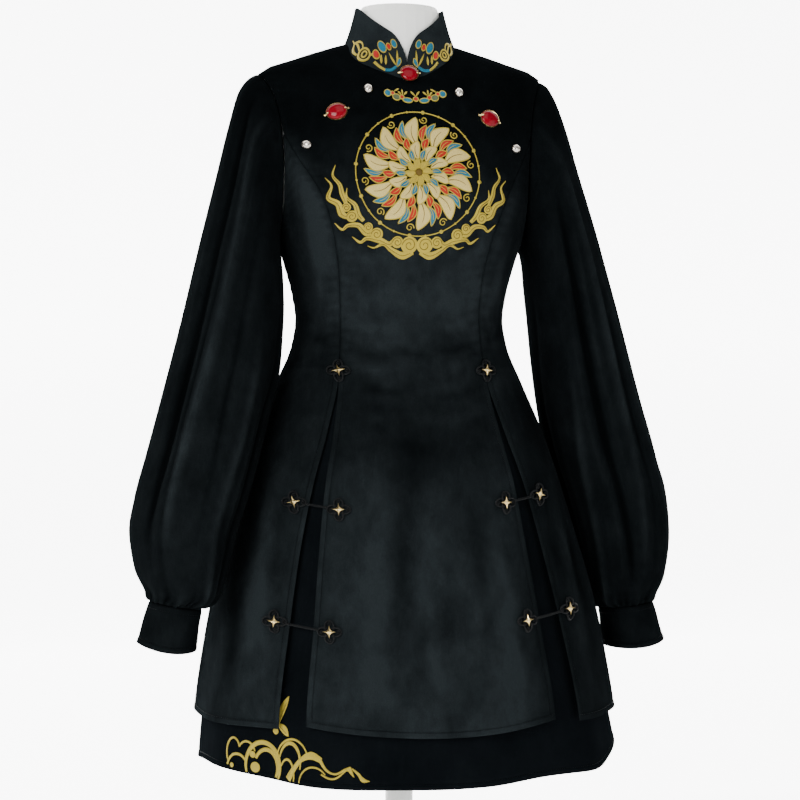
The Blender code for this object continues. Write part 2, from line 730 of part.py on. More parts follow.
def make_collar(cloth):
    """The stand collar's halves, which meet at the middle front and the middle back."""
    gap = float(held_back(NECKLINE)) * COLLAR_GAP
    turns = np.sort(np.concatenate([neckline_turns(), np.radians(COLLAR_EXTRA)]))
    turns[0], turns[-1] = gap, math.pi - gap
    angle, tall = np.meshgrid(turns, np.linspace(0, 1, COLLAR_ROWS))
    for name, side in (("collar_l", 1), ("collar_r", -1)):
        face = collar_surface(angle, tall)
        back = face - COLLAR_WALL * collar_normal(angle)
        wall(name, mirrored(face, side), mirrored(back, side), cloth, False, side < 0)


def front_place(out, height):
    """The angle and level of a point of the front, from its place as seen from the front."""
    level = np.asarray(height, float)
    for _ in range(6):
        angle = angle_at(out - smooth(SLIT, SLIT_COLUMNS, "sway", level), level)
        level = height + smooth(BODY, BODY_COLUMNS, "front_drop", level) * np.cos(angle) ** 2
    return angle_at(out - smooth(SLIT, SLIT_COLUMNS, "sway", level), level), level


def on_front(out, height, rise):
    """A point that stands so far off the front panels."""
    angle, level = front_place(out, height)
    return body_surface(angle, level) + np.asarray(rise)[..., None] * outward(body_surface, angle, level)


def on_throat(out, height, rise):
    """A point that stands so far off the slanting place where the collar's ends meet."""
    depth = THROAT_OUT + rise - THROAT_SLANT * (height - THROAT_HEIGHT)
    return np.stack(np.broadcast_arrays(out, -depth, height), -1)


def mound(name, centre, outline, rings, finish, place=on_front):
    """A closed mound: an outline of reach by direction, and rings of share and rise."""
    direction = np.arange(len(outline)) * 2 * math.pi / len(outline)
    x = centre[0] + np.outer([ring[0] for ring in rings], outline * np.cos(direction))
    z = centre[1] + np.outer([ring[0] for ring in rings], outline * np.sin(direction))
    rise = np.repeat(np.array([ring[1] for ring in rings])[:, None], len(outline), 1)
    points = place(x, z, rise).reshape(-1, 3)
    low = place(np.array([centre[0]]), np.array([centre[1]]), np.array([rings[0][1]]))
    top = place(np.array([centre[0]]), np.array([centre[1]]), np.array([rings[-1][1]]))
    count = len(outline)
    faces = []
    for r in range(len(rings) - 1):
        for c in range(count):
            a, b = r * count + c, r * count + (c + 1) % count
            faces.append((a, b, b + count, a + count))
    bottom, crown = len(points), len(points) + 1
    last = (len(rings) - 1) * count
    for c in range(count):
        faces.append((bottom, (c + 1) % count, c))
        faces.append((crown, last + c, last + (c + 1) % count))
    return solid(name, np.concatenate([points, low, top]), faces, finish)


def oval(half_wide, half_tall, turn):
    """The reach of a tilted oval stone in each direction."""
    direction = np.arange(JEWEL_SIDES) * 2 * math.pi / JEWEL_SIDES - math.radians(turn)
    return ((np.cos(direction) / half_wide) ** 2 + (np.sin(direction) / half_tall) ** 2) ** -0.5


def clover():
    """The reach of a knot with four round lobes."""
    direction = np.arange(4 * KNOT_LOBES) * 2 * math.pi / (4 * KNOT_LOBES)
    return KNOT_RADIUS * (1 - KNOT_WAIST * (1 - np.cos(KNOT_LOBES * direction)))


def make_frog(name, out, height, knot_look, star_look):
    """A clover knot of cord with a four-pointed star on it."""
    rings = ((1.0, LIFT), (1.0, 0.6 * KNOT_HEIGHT), (0.60, KNOT_HEIGHT))
    mound("knot_" + name, (out, height), clover(), rings, knot_look)
    points = np.array([STAR_REACH, STAR_WAIST] * 4)
    base = KNOT_HEIGHT + SEAM_GAP
    rings = ((1.0, base), (0.30, base + STAR_HEIGHT))
    mound("star_" + name, (out, height), points, rings, star_look)


def slit_edges(height, side):
    """Where the slit's two edges lie out from the middle, at a height on one side."""
    level = np.array([height])
    seam = princess_angle(level)
    offsets = (-slit_angle(level), slit_angle(level))
    return [float(body_surface(side * (seam + offset), level)[0, 0]) for offset in offsets]


def make_cord(name, start, end, finish):
    """A short cord across the slit, from one knot's edge to the other's."""
    away = np.array(end) - np.array(start)
    away = away / np.linalg.norm(away)
    reach = KNOT_RADIUS + LIFT
    first, last = np.array(start) + reach * away, np.array(end) - reach * away
    rise = LIFT + CORD_RADIUS
    ends = on_front(np.array([first[0], last[0]]), np.array([first[1], last[1]]), np.full(2, rise))
    share = np.linspace(0, 1, CORD_STEPS)[:, None]
    line = ends[0] + (ends[1] - ends[0]) * share
    line[:, 1] -= CORD_BOW * np.sin(math.pi * share[:, 0])
    axis = (ends[1] - ends[0]) / np.linalg.norm(ends[1] - ends[0])
    side = np.cross((0, 0, 1), axis)
    side /= np.linalg.norm(side)
    up = np.cross(axis, side)
    turn = np.arange(CORD_SIDES) * 2 * math.pi / CORD_SIDES
    ring = CORD_RADIUS * (np.outer(np.cos(turn), side) + np.outer(np.sin(turn), up))
    return stacked(name, [point + ring for point in line], finish)


def make_frogs(knot_look, star_look):
    """A single frog at the top of each slit and two pairs joined by cords below it.

    The pairs on the wearer's right sit a little lower.
    """
    for tag, side in (("l", 1), ("r", -1)):
        top = float(smooth(PRINCESS, PRINCESS_COLUMNS, "out", TOP_KNOT_HEIGHT)) * side
        make_frog("top_" + tag, top, TOP_KNOT_HEIGHT, knot_look, star_look)
        for row in named(PAIRS, PAIR_COLUMNS):
            name, lower = row["name"], row["right_lower"] if side < 0 else 0.0
            front_height, side_height = row["front_height"] - lower, row["side_height"] - lower
            near = slit_edges(front_height, side)[0] - side * KNOT_IN_FRONT
            far = slit_edges(side_height, side)[1] + side * KNOT_IN_SIDE
            make_frog(f"{name}_front_{tag}", near, front_height, knot_look, star_look)
            make_frog(f"{name}_side_{tag}", far, side_height, knot_look, star_look)
            ends = sorted([(near, front_height), (far, side_height)])
            make_cord(f"cord_{name}_{tag}", ends[0], ends[1], knot_look)


def ring_mound(name, centre, inner, outer, low, high, finish, place):
    """A closed rim round an oval stone."""
    direction = np.arange(len(inner)) * 2 * math.pi / len(inner)
    grids = []
    shoulder = low + 0.6 * (high - low)
    for reach, rise in ((outer, low), (outer, shoulder), (inner * RIM_SHARE, high), (inner, low)):
        x = centre[0] + reach * np.cos(direction)
        z = centre[1] + reach * np.sin(direction)
        grids.append(place(x, z, np.full(len(inner), rise)))
    count = len(inner)
    faces = []
    for r in range(4):
        for c in range(count):
            a, b = r * count + c, r * count + (c + 1) % count
            over = ((r + 1) % 4) * count
            faces.append((a, b, over + (c + 1) % count, over + c))
    return solid(name, np.concatenate(grids), faces, finish)


def make_jewels(stone, gilt):
    """Three oval cabochons, each in a low gilt rim."""
    for row in named(JEWELS, JEWEL_COLUMNS):
        name, centre = row["name"], (row["out"], row["height"])
        place = on_throat if name == "neck" else on_front
        edge = oval(row["half_wide"], row["half_tall"], row["turn"])
        rings = (
            (0.90, LIFT),
            (1.0, LIFT + 0.3 * JEWEL_RISE),
            (0.82, LIFT + 0.75 * JEWEL_RISE),
            (0.45, LIFT + JEWEL_RISE),
        )
        inner = edge + SEAM_GAP
        mound("jewel_" + name, centre, edge, rings, stone, place)
        top = LIFT + JEWEL_RIM_HEIGHT
        ring_mound("setting_" + name, centre, inner, inner + JEWEL_RIM, LIFT, top, gilt, place)


def make_domes(finish):
    """Four small silvery domes on the chest."""
    for row in named(DOMES, DOME_COLUMNS):
        edge = np.full(DOME_SIDES, DOME_RADIUS)
        rings = (
            (0.92, LIFT),
            (1.0, LIFT + 0.3 * DOME_RADIUS),
            (0.75, LIFT + 0.75 * DOME_RADIUS),
            (0.30, LIFT + 0.95 * DOME_RADIUS),
        )
        mound("dome_" + row["name"], (row["out"], row["height"]), edge, rings, finish)


def form_surface(angle, level):
    """The dress form's face, inside the cloth."""
    inside = smooth(FORM, FORM_COLUMNS, "inside", level)
    return body_surface(angle, level) - inside[..., None] * outward(body_surface, angle, level)


def form_angles():
    """Angles round the form, in step with the columns of the front and of the backs."""
    front = np.linspace(-math.pi / 2, math.pi / 2, FORM_FRONT_STEPS + 1)
    back = np.linspace(math.pi / 2, 3 * math.pi / 2, FORM_BACK_STEPS + 1)
    return np.concatenate([front[:-1], back[:-1]])


def form_rings():
    """Rings of the form from its low end to the top of its neck."""
    angle = form_angles()
    s, c = np.sin(angle), np.cos(angle)
    levels = (*FORM_LOWER, *FORM_UPPER, SHOULDER_TIP, *SHOULDER_ROWS[:3])
    rings = [form_surface(angle, np.full(len(angle), level)) for level in levels]
    low = rings[0] * np.array([FORM_LOW_SHARE, FORM_LOW_SHARE, 0]) + np.array([0, 0, FORM_LOW])
    rings.insert(0, low)
    depth = np.where(c >= 0, NECK_FRONT, NECK_BACK)
    for row in named(NECK, NECK_COLUMNS):
        z = row["height"] - np.where(c >= 0, row["front_drop"], 0) * c**2
        size = row["size"]
        rings.append(np.stack([NECK_HALF_WIDTH * size * s, -depth * size * c, z], -1))
    return rings


def stacked(name, rings, finish):
    """A closed body through rings of points, bottom to top, with flat ends."""
    count = len(rings[0])
    faces = [tuple(range(count))[::-1]]
    for r in range(len(rings) - 1):
        for c in range(count):
            a, b = r * count + c, r * count + (c + 1) % count
            faces.append((a, b, b + count, a + count))
    faces.append(tuple(range((len(rings) - 1) * count, len(rings) * count)))
    return solid(name, np.concatenate(rings), faces, finish)


def make_form(finish):
    """A smooth, whole form with shoulders and a neck, and no limbs."""
    return stacked("form", form_rings(), finish)


def turned(name, profile, count, finish):
    """A closed turned body from pairs of radius and height, bottom to top."""
    turn = np.arange(count) * 2 * math.pi / count
    rings = [np.stack([r * np.cos(turn), r * np.sin(turn), np.full(count, z)], -1) for r, z in profile]
    return stacked(name, rings, finish)


def make_stand(finish):
    """The form's pole and its round foot."""
    rim = FOOT_RADIUS - FOOT_EDGE
    profile = ((FOOT_RADIUS, 0), (FOOT_RADIUS, FOOT_HEIGHT - FOOT_EDGE), (rim, FOOT_HEIGHT))
    turned("foot", profile, FOOT_SIDES, finish)
    low, high = FOOT_HEIGHT + SEAM_GAP, FORM_LOW - SEAM_GAP
    turned("pole", ((POLE_RADIUS, low), (POLE_RADIUS, high)), POLE_SIDES, finish)


def main():
    for old in list(bpy.data.objects):
        bpy.data.objects.remove(old)
    velvet = look("velvet", (0.012, 0.016, 0.018), 0.85)
    plain = look("plain_cloth", (0.010, 0.013, 0.015), 0.75)
    braid = look("braid", (0.010, 0.010, 0.012), 0.6)
    gilt = look("gilt", (0.80, 0.66, 0.36), 0.30, 1.0)
    silver = look("silver", (0.80, 0.78, 0.74), 0.25, 1.0)
    stone = look("red_stone", (0.55, 0.010, 0.020), 0.15)
    white = look("form_cover", (0.68, 0.69, 0.67), 0.7)
    make_fronts(velvet)
    make_backs(velvet)
    make_underskirt(plain)
    make_sleeve("sleeve_l", SLEEVE_L, FOLDS_L, 1, velvet)
    make_sleeve("sleeve_r", SLEEVE_R, FOLDS_R, -1, velvet)
    make_cuff("cuff_l", SLEEVE_L, 1, plain)
    make_cuff("cuff_r", SLEEVE_R, -1, plain)
    make_collar(velvet)
    make_frogs(braid, gilt)
    make_jewels(stone, gilt)
    make_domes(silver)
    make_form(white)
    make_stand(white)


main()
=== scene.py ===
"""Looks of a short velvet qipao on a limbless dress form.

Metres, +Z up. The front faces -Y and the wearer's left is +X. Each piece of cloth is a thin closed
shell on the form of its CAD solid, with its creases, its turned edges and its seams. The tables
and surfaces below are the ones that the CAD source uses. A
table's first row names its columns.
"""

import json
import math
from functools import cache

import bpy
import numpy as np
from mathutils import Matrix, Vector

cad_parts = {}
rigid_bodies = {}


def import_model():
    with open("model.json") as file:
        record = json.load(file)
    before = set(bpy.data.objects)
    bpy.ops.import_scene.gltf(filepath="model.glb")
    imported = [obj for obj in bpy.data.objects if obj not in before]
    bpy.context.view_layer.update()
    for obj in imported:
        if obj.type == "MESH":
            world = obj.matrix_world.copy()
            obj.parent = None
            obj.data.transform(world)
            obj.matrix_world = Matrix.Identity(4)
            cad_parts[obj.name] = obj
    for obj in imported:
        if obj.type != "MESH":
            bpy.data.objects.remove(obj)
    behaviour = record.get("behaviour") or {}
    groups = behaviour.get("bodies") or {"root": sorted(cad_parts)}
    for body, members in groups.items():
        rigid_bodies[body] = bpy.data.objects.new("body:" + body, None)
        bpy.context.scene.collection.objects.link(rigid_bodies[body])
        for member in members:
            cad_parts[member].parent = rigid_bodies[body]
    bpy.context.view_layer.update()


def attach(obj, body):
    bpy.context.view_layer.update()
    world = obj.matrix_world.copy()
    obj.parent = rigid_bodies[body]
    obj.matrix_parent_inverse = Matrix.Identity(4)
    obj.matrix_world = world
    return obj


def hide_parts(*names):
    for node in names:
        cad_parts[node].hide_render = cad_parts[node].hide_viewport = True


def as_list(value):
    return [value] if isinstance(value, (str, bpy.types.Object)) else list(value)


# Cloth and clearances
SEAM_GAP = 0.00006
LIFT = 0.0005

# Heights above the floor
HEM = 0.604
UNDERSKIRT_HEM = 0.550
UNDERSKIRT_TOP = 1.004
SLIT_TOP = 0.992
WAIST = 1.054
UNDERARM = 1.145
SHOULDER_TIP = 1.332
NECKLINE = 1.3688
COLLAR_TOP = 1.4108

# Armhole, half its width to the front and to the back
ARMHOLE_FRONT = 0.058
ARMHOLE_BACK = 0.060
ARMHOLE_STEPS = 14
ARMHOLE_MIDDLE = (SHOULDER_TIP + UNDERARM) / 2
ARMHOLE_HALF = (SHOULDER_TIP - UNDERARM) / 2

# The worn body at rings from the hem to the neckline. A ring's height is taken at the side
# seam; the drops say how much lower it runs at the middle of the front and of the back.
BODY = (
    ("height", "half_width", "front", "back", "front_drop", "back_drop", "squareness"),
    (0.550, 0.2440, 0.197, 0.197, 0.000, 0.000, 2.0),
    (0.617, 0.2385, 0.187, 0.188, 0.000, 0.000, 2.0),
    (0.674, 0.2305, 0.177, 0.179, 0.000, 0.000, 2.0),
    (0.734, 0.2195, 0.166, 0.169, 0.000, 0.000, 2.0),
    (0.827, 0.1950, 0.146, 0.154, 0.000, 0.000, 2.05),
    (0.920, 0.1665, 0.125, 0.135, 0.000, 0.000, 2.1),
    (0.981, 0.1418, 0.105, 0.112, 0.000, 0.000, 2.15),
    (1.025, 0.1238, 0.092, 0.087, 0.000, 0.000, 2.2),
    (1.054, 0.1195, 0.087, 0.078, 0.000, 0.000, 2.2),
    (1.0825, 0.1235, 0.091, 0.080, 0.000, 0.000, 2.2),
    (1.115, 0.1320, 0.101, 0.088, 0.000, 0.000, 2.2),
    (1.145, 0.1410, 0.112, 0.095, 0.000, 0.000, 2.25),
    (1.190, 0.1490, 0.120, 0.102, 0.002, 0.000, 2.3),
    (1.235, 0.1555, 0.115, 0.106, 0.006, 0.000, 2.3),
    (1.280, 0.1610, 0.101, 0.104, 0.012, 0.002, 2.3),
    (SHOULDER_TIP, 0.1630, 0.080, 0.085, 0.026, 0.008, 2.25),
    (1.351, 0.1190, 0.070, 0.072, 0.035, 0.008, 2.1),
    (NECKLINE, 0.0640, 0.058, 0.052, 0.0455, 0.002, 2.0),
)

# Bust points
BUST_OUT = 0.090
BUST_HEIGHT = 1.188
BUST_RISE = 0.009
BUST_WIDE = 0.036
BUST_TALL = 0.034

# Seam between front and side front, as its distance from the middle, from the hem to the armhole
PRINCESS = (
    ("height", "out"),
    (0.550, 0.1560),
    (0.620, 0.1520),
    (0.720, 0.1380),
    (0.790, 0.1270),
    (0.870, 0.1120),
    (0.930, 0.0960),
    (SLIT_TOP, 0.0830),
    (WAIST, 0.0795),
    (1.100, 0.0820),
    (1.140, 0.0890),
    (1.182, 0.1020),
    (1.208, 0.1140),
    (1.2325, 0.1280),
)
PRINCESS_TIP = 0.0012

# Opening of the slits, and how far the skirt hangs over to the wearer's left
SLIT = (
    ("height", "open", "sway"),
    (0.550, 0.0330, 0.010),
    (0.620, 0.0300, 0.008),
    (0.720, 0.0250, 0.006),
    (0.800, 0.0190, 0.004),
    (0.870, 0.0120, 0.003),
    (0.940, 0.0050, 0.001),
    (SLIT_TOP, 0.0000, 0.000),
    (1.100, 0.0000, 0.000),
)

# Soft flutes of the skirt: where each lies round the body in degrees from the front, how far it
# stands out at the hem and how wide it is in degrees
FLUTES = (
    ("angle", "out", "wide"),
    (-147.0, 0.007, 13.0),
    (-126.0, -0.005, 10.0),
    (-101.0, 0.006, 9.0),
    (-72.0, 0.006, 10.0),
    (-54.0, -0.004, 8.0),
    (-14.0, -0.003, 12.0),
    (20.0, 0.003, 10.0),
    (58.0, 0.005, 9.0),
    (80.0, 0.003, 8.0),
    (112.0, 0.006, 12.0),
    (150.0, -0.004, 12.0),
    (176.0, 0.006, 11.0),
)
FLUTE_TOP = 0.960
FLUTE_MOST = 1.2
FLUTE_POWER = 1.4

# How far the outer layer's hem rises, at the apron's corners and round the sides and back
APRON_RISE = 0.011
SIDE_HEM_RISE = 0.006

# Space from the outer layer's face to the underskirt's, at the front and at the sides
UNDERSKIRT = (
    ("height", "at_front", "at_side"),
    (UNDERSKIRT_HEM, 0.0130, 0.0085),
    (0.660, 0.0100, 0.0095),
    (0.734, 0.0085, 0.0095),
    (0.827, 0.0070, 0.0070),
    (0.920, 0.0050, 0.0050),
    (UNDERSKIRT_TOP, 0.0027, 0.0027),
)

# Rises of the underskirt's hem by degrees from the front, and its kick at the wearer's left
RISES = (
    ("angle", "up", "wide"),
    (-76.0, 0.0120, 24.0),
    (38.0, 0.0052, 20.0),
    (90.0, 0.0270, 18.0),
)
FLARE_ANGLE = 90.0
FLARE_WIDE = 18.0
FLARE_OUT = 0.007
FLARE_TOP = 0.625

# Sleeves: each row is a section, by its outer and inner point as seen from the front, half its
# depth to the front and to the back, and how far it swings forward
SLEEVE_R = (
    ("outer_x", "outer_z", "inner_x", "inner_z", "front", "back", "forward"),
    (0.1630, 1.3318, 0.1413, 1.1453, 0.058, 0.060, 0.000),
    (0.1730, 1.3270, 0.1410, 1.1300, 0.061, 0.061, 0.001),
    (0.1845, 1.3130, 0.1390, 1.1165, 0.064, 0.063, 0.004),
    (0.1977, 1.2700, 0.1365, 1.0990, 0.067, 0.066, 0.009),
    (0.2126, 1.2110, 0.1360, 1.0700, 0.070, 0.069, 0.016),
    (0.2332, 1.1305, 0.1385, 1.0300, 0.073, 0.072, 0.024),
    (0.2517, 1.0550, 0.1430, 0.9900, 0.075, 0.074, 0.032),
    (0.2757, 0.9650, 0.1550, 0.9450, 0.077, 0.076, 0.043),
    (0.2915, 0.9080, 0.1660, 0.9020, 0.079, 0.077, 0.051),
    (0.3060, 0.8560, 0.1795, 0.8560, 0.080, 0.078, 0.058),
    (0.3120, 0.8200, 0.1930, 0.8180, 0.078, 0.076, 0.063),
    (0.3060, 0.7800, 0.2040, 0.7760, 0.069, 0.067, 0.066),
    (0.2930, 0.7540, 0.2160, 0.7450, 0.050, 0.048, 0.068),
    (0.2905, 0.7440, 0.2325, 0.7340, 0.032, 0.032, 0.068),
)
SLEEVE_L = (
    ("outer_x", "outer_z", "inner_x", "inner_z", "front", "back", "forward"),
    (0.1630, 1.3318, 0.1413, 1.1453, 0.058, 0.060, 0.000),
    (0.1720, 1.3270, 0.1440, 1.1330, 0.061, 0.061, 0.000),
    (0.1800, 1.3150, 0.1480, 1.1210, 0.064, 0.063, -0.001),
    (0.1930, 1.2800, 0.1500, 1.1000, 0.067, 0.066, -0.003),
    (0.2085, 1.2300, 0.1525, 1.0750, 0.070, 0.069, -0.007),
    (0.2325, 1.1560, 0.1565, 1.0350, 0.073, 0.072, -0.012),
    (0.2587, 1.0700, 0.1620, 0.9900, 0.075, 0.074, -0.018),
    (0.2890, 0.9660, 0.1700, 0.9420, 0.077, 0.076, -0.024),
    (0.3092, 0.9013, 0.1810, 0.8950, 0.079, 0.077, -0.028),
    (0.3200, 0.8550, 0.1960, 0.8500, 0.080, 0.078, -0.030),
    (0.3220, 0.8000, 0.2120, 0.8000, 0.078, 0.076, -0.030),
    (0.3212, 0.7600, 0.2230, 0.7580, 0.069, 0.067, -0.030),
    (0.3135, 0.7330, 0.2340, 0.7270, 0.050, 0.048, -0.030),
    (0.3112, 0.7240, 0.2465, 0.7160, 0.033, 0.033, -0.030),
)
ARMHOLE_BLEND = 0.22

# Long folds of a sleeve: the angle from its outer side towards the front at each end, in
# degrees, where along the sleeve it runs, how far it stands out and how wide it is in degrees
FOLDS_R = (
    ("angle_top", "angle_low", "start", "end", "out", "wide"),
    (62.0, 68.0, 0.04, 0.80, 0.0085, 12.0),
    (38.0, 44.0, 0.10, 0.85, -0.0075, 14.0),
    (112.0, 120.0, 0.42, 0.97, 0.0070, 14.0),
    (148.0, 150.0, 0.35, 0.90, -0.0060, 14.0),
    (208.0, 215.0, 0.20, 0.92, -0.0055, 15.0),
    (246.0, 244.0, 0.12, 0.86, 0.0065, 14.0),
    (284.0, 280.0, 0.06, 0.88, -0.0065, 14.0),
    (322.0, 328.0, 0.10, 0.92, 0.0065, 14.0),
)
FOLDS_L = (
    ("angle_top", "angle_low", "start", "end", "out", "wide"),
    (66.0, 76.0, 0.03, 0.82, 0.0080, 12.0),
    (92.0, 98.0, 0.20, 0.88, -0.0070, 13.0),
    (50.0, 38.0, 0.40, 0.90, 0.0070, 13.0),
    (118.0, 136.0, 0.44, 0.97, 0.0070, 13.0),
    (165.0, 168.0, 0.30, 0.90, -0.0060, 14.0),
    (205.0, 202.0, 0.18, 0.92, -0.0055, 15.0),
    (240.0, 246.0, 0.12, 0.88, 0.0065, 14.0),
    (296.0, 292.0, 0.05, 0.86, 0.0065, 14.0),
)
GATHERS = 8
GATHER_OUT = 0.0042
GATHER_START = 0.80
GATHER_END = 0.06
GATHER_TURN = 0.6

# Cuffs
CUFF_HEIGHT = 0.045
CUFF_FLARE = 1.12
CUFF_LEAN = 0.010
CUFF_FRONT_DROP = 0.004

# Collar: its height round the neck, its lean, and the rounded corners of its front V
COLLAR_LOW = 0.015
COLLAR_CORNER = 0.024
COLLAR_LEAN = 0.0135
LEAN_POWER = 0.8
LEAN_EASE = 0.02
COLLAR_TUCK = 0.0009
COLLAR_SWELL = 0.0070
SWELL_END = math.radians(64.0)
SWELL_FULL = math.radians(20.0)
COLLAR_RADIUS = 0.060
COLLAR_DROPS = {1: 0.0030, -1: 0.0090}
ROLL_ANGLE = 44.0
ROLL_WIDE = 19.0
ROLL_END = 0.45
ROLL_OUT = 0.0022

# Frog fastenings: a knot's centre from its panel's edge, and the heights of the pairs
KNOT_RADIUS = 0.0130
KNOT_HEIGHT = 0.0030
KNOT_IN_FRONT = 0.0170
KNOT_IN_SIDE = 0.0145
TOP_KNOT_HEIGHT = 0.9950
PAIRS = (
    ("name", "front_height", "side_height", "right_lower"),
    ("mid", 0.8500, 0.8570, 0.0055),
    ("low", 0.7225, 0.7310, 0.0075),
)
CORD_RADIUS = 0.0016
CORD_BOW = 0.0010
STAR_REACH = 0.0070
STAR_WAIST = 0.0023

# Ornaments on the chest and the collar seam
THROAT_HEIGHT = 1.329
THROAT_OUT = 0.0615
THROAT_SLANT = 0.50
JEWELS = (
    ("name", "out", "height", "half_wide", "half_tall", "turn"),
    ("neck", 0.000, THROAT_HEIGHT, 0.0095, 0.0085, 0.0),
    ("r", -0.0858, 1.2803, 0.0105, 0.0083, 18.0),
    ("l", 0.0860, 1.2760, 0.0100, 0.0085, -18.0),
)
JEWEL_RISE = 0.0050
DOMES = (
    ("name", "out", "height"),
    ("upper_r", -0.0498, 1.3070),
    ("upper_l", 0.0527, 1.3050),
    ("lower_r", -0.1180, 1.2438),
    ("lower_l", 0.1170, 1.2440),
)
DOME_RADIUS = 0.0050

# Rows where the CAD's hems begin to rise
FIRST_ROW = 0.640
UNDERSKIRT_ROW = 0.600
JOIN_STEP = 6
JOIN_TURN = math.pi * JOIN_STEP / ARMHOLE_STEPS
STEP = 1e-4
SLACK = 1e-6
SHARP = 40
ASIDE = (1.0, 0.0, 0.0)
FORWARD = (0.0, -1.0, 0.0)

# Finer folds of the sleeves, and the small gathers above their cuffs
SLEEVE_ROUND = 150
CUFF_ROUND = 96
FINE_FOLDS_R = (
    ("angle_top", "angle_low", "start", "end", "out", "wide"),
    (70.0, 74.0, 0.02, 0.60, 0.0014, 5.0),
    (54.0, 58.0, 0.25, 0.88, -0.0016, 5.0),
    (20.0, 28.0, 0.08, 0.70, 0.0014, 6.0),
    (90.0, 96.0, 0.18, 0.82, -0.0015, 6.0),
    (130.0, 134.0, 0.50, 0.97, 0.0018, 6.0),
    (172.0, 168.0, 0.45, 0.95, -0.0016, 7.0),
    (230.0, 226.0, 0.28, 0.92, 0.0015, 6.0),
    (266.0, 262.0, 0.20, 0.84, -0.0014, 6.0),
    (302.0, 306.0, 0.36, 0.96, 0.0016, 6.0),
    (345.0, 350.0, 0.28, 0.92, -0.0014, 6.0),
)
FINE_FOLDS_L = (
    ("angle_top", "angle_low", "start", "end", "out", "wide"),
    (76.0, 84.0, 0.02, 0.66, 0.0014, 5.0),
    (58.0, 62.0, 0.24, 0.84, -0.0015, 5.0),
    (28.0, 22.0, 0.12, 0.78, 0.0015, 6.0),
    (104.0, 112.0, 0.30, 0.90, 0.0015, 6.0),
    (142.0, 152.0, 0.52, 0.97, 0.0018, 6.0),
    (184.0, 186.0, 0.42, 0.94, -0.0016, 7.0),
    (222.0, 226.0, 0.26, 0.92, 0.0015, 6.0),
    (262.0, 266.0, 0.18, 0.82, -0.0014, 6.0),
    (314.0, 310.0, 0.34, 0.95, 0.0016, 6.0),
    (348.0, 344.0, 0.30, 0.92, -0.0014, 6.0),
)
CREST_SHARE = 0.34
FINE_GATHERS = 27
FINE_GATHER_OUT = 0.0013
FINE_GATHER_START = 0.86
FINE_GATHER_END = 0.02
FOLD_BROAD = 0.62
FOLD_CREST = 0.48

# Ease at a sleeve's head
HEAD_OUT = 0.0007
HEAD_START = 0.012
HEAD_END = 0.09
HEAD_WAVES = 22

# Turned and stitched edges, and the dip and the puckers at a sewn seam
STITCH_IN = 0.0062
STITCH_WIDE = 0.0009
HEM_THICK = 0.00035
STITCH_DIP = 0.0005
SEAM_DIP = 0.0006
SEAM_WIDE = 0.0020
PUCKER_OUT = 0.00030
PUCKER_LONG = 0.012
PUCKER_WIDE = 0.006
PUCKER_DRIFT = 1.3
PUCKER_SLOW = 0.031

# Seam allowance that lies folded inside a seam
ALLOWANCE_IN = 0.0016
ALLOWANCE_ROUND = 0.0011
# Painted shade: the allowance folded inside a seam is made near black
ALLOWANCE_SHADE = 0.02

# Stitches of a turned edge
STITCH_PITCH = 0.0032
STITCH_LONG = 0.0022
STITCH_THICK = 0.00045
STITCH_RISE = 0.4
STITCH_SHAPE = (
    (-1, 0, 0), (-0.6, 1, 0), (-0.6, 0, 1), (-0.6, -1, 0), (-0.6, 0, -1),
    (0.6, 1, 0), (0.6, 0, 1), (0.6, -1, 0), (0.6, 0, -1), (1, 0, 0),
)

# Sewn threads: how far they stand on the cloth, and how high a line and a filled shape rise
SEWN = 0.00015
LINE_TALL = 0.0007
FILL_TALL = 0.0006
LINE_STEP = 0.0008
LAYER = 0.0004
MM = 0.001
CALM_REACH = 0.016
OUTLINE_WIDE = 0.0013
FINE_WIDE = 0.0008
VEIN_WIDE = 0.0007
FINE_TALL = 0.0003

# Rings of a filled shape: share of its outline and of its height
CROWN = ((0.96, 0.0), (1.0, 0.3), (0.93, 0.7), (0.72, 0.95), (0.4, 1.0))

# Frog fastenings in cord
LOOP_ROUND = 0.0050
LOOP_LOBE = 0.0068
LOOP_CORD = 0.00095
COIL_AT = 0.0082
COIL_ROUND = 0.0019
COIL_CORD = 0.00075
COIL_RISE = 0.0009
PLY = 0.0009
PLY_TURN = 0.0062
PLY_PITCH = 0.0016
CORD_HOLD = 0.9
STAR_POWER = 0.52
STONE_OVER = 0.0004
RIM_WIDE = 0.0007
RIM_TALL = 0.0019
CLAW_OUT = 0.0032
CLAW_LONG = 0.0052
CLAW_RISE = 0.0036
CLAW_TALL = 0.0008
CLAW_WIDTHS = (0.0016, 0.0026, 0.0020, 0.0010)
RIM_GAP = 0.0001
RIM_BEADS = 28
GIRDLE = 0.0012
STAR_GAP = 0.0002

# Rings of a star, a dome and a jewel's rim: share of the reach, and rise
STAR_RINGS = ((0.94, 0.0), (1.0, 0.0004), (0.93, 0.0009), (0.66, 0.0013), (0.36, 0.0019), (0.10, 0.0025),
              (0.02, 0.0026))
DOME_RINGS = ((0.94, 0.0), (1.0, 0.0006), (0.99, 0.0013), (0.92, 0.0025), (0.78, 0.0036), (0.58, 0.0045),
              (0.34, 0.0051), (0.12, 0.0053))
RIM_RINGS = ((0.0, 0.0), (1.0, 0.0), (1.0, 0.6), (0.55, 1.0), (0.0, 0.8))
STAR_TURNS = {"top_l": -7.0, "top_r": 9.0, "mid_side_r": 12.0, "mid_side_l": -16.0, "low_side_r": -6.0,
              "low_front_l": 8.0}

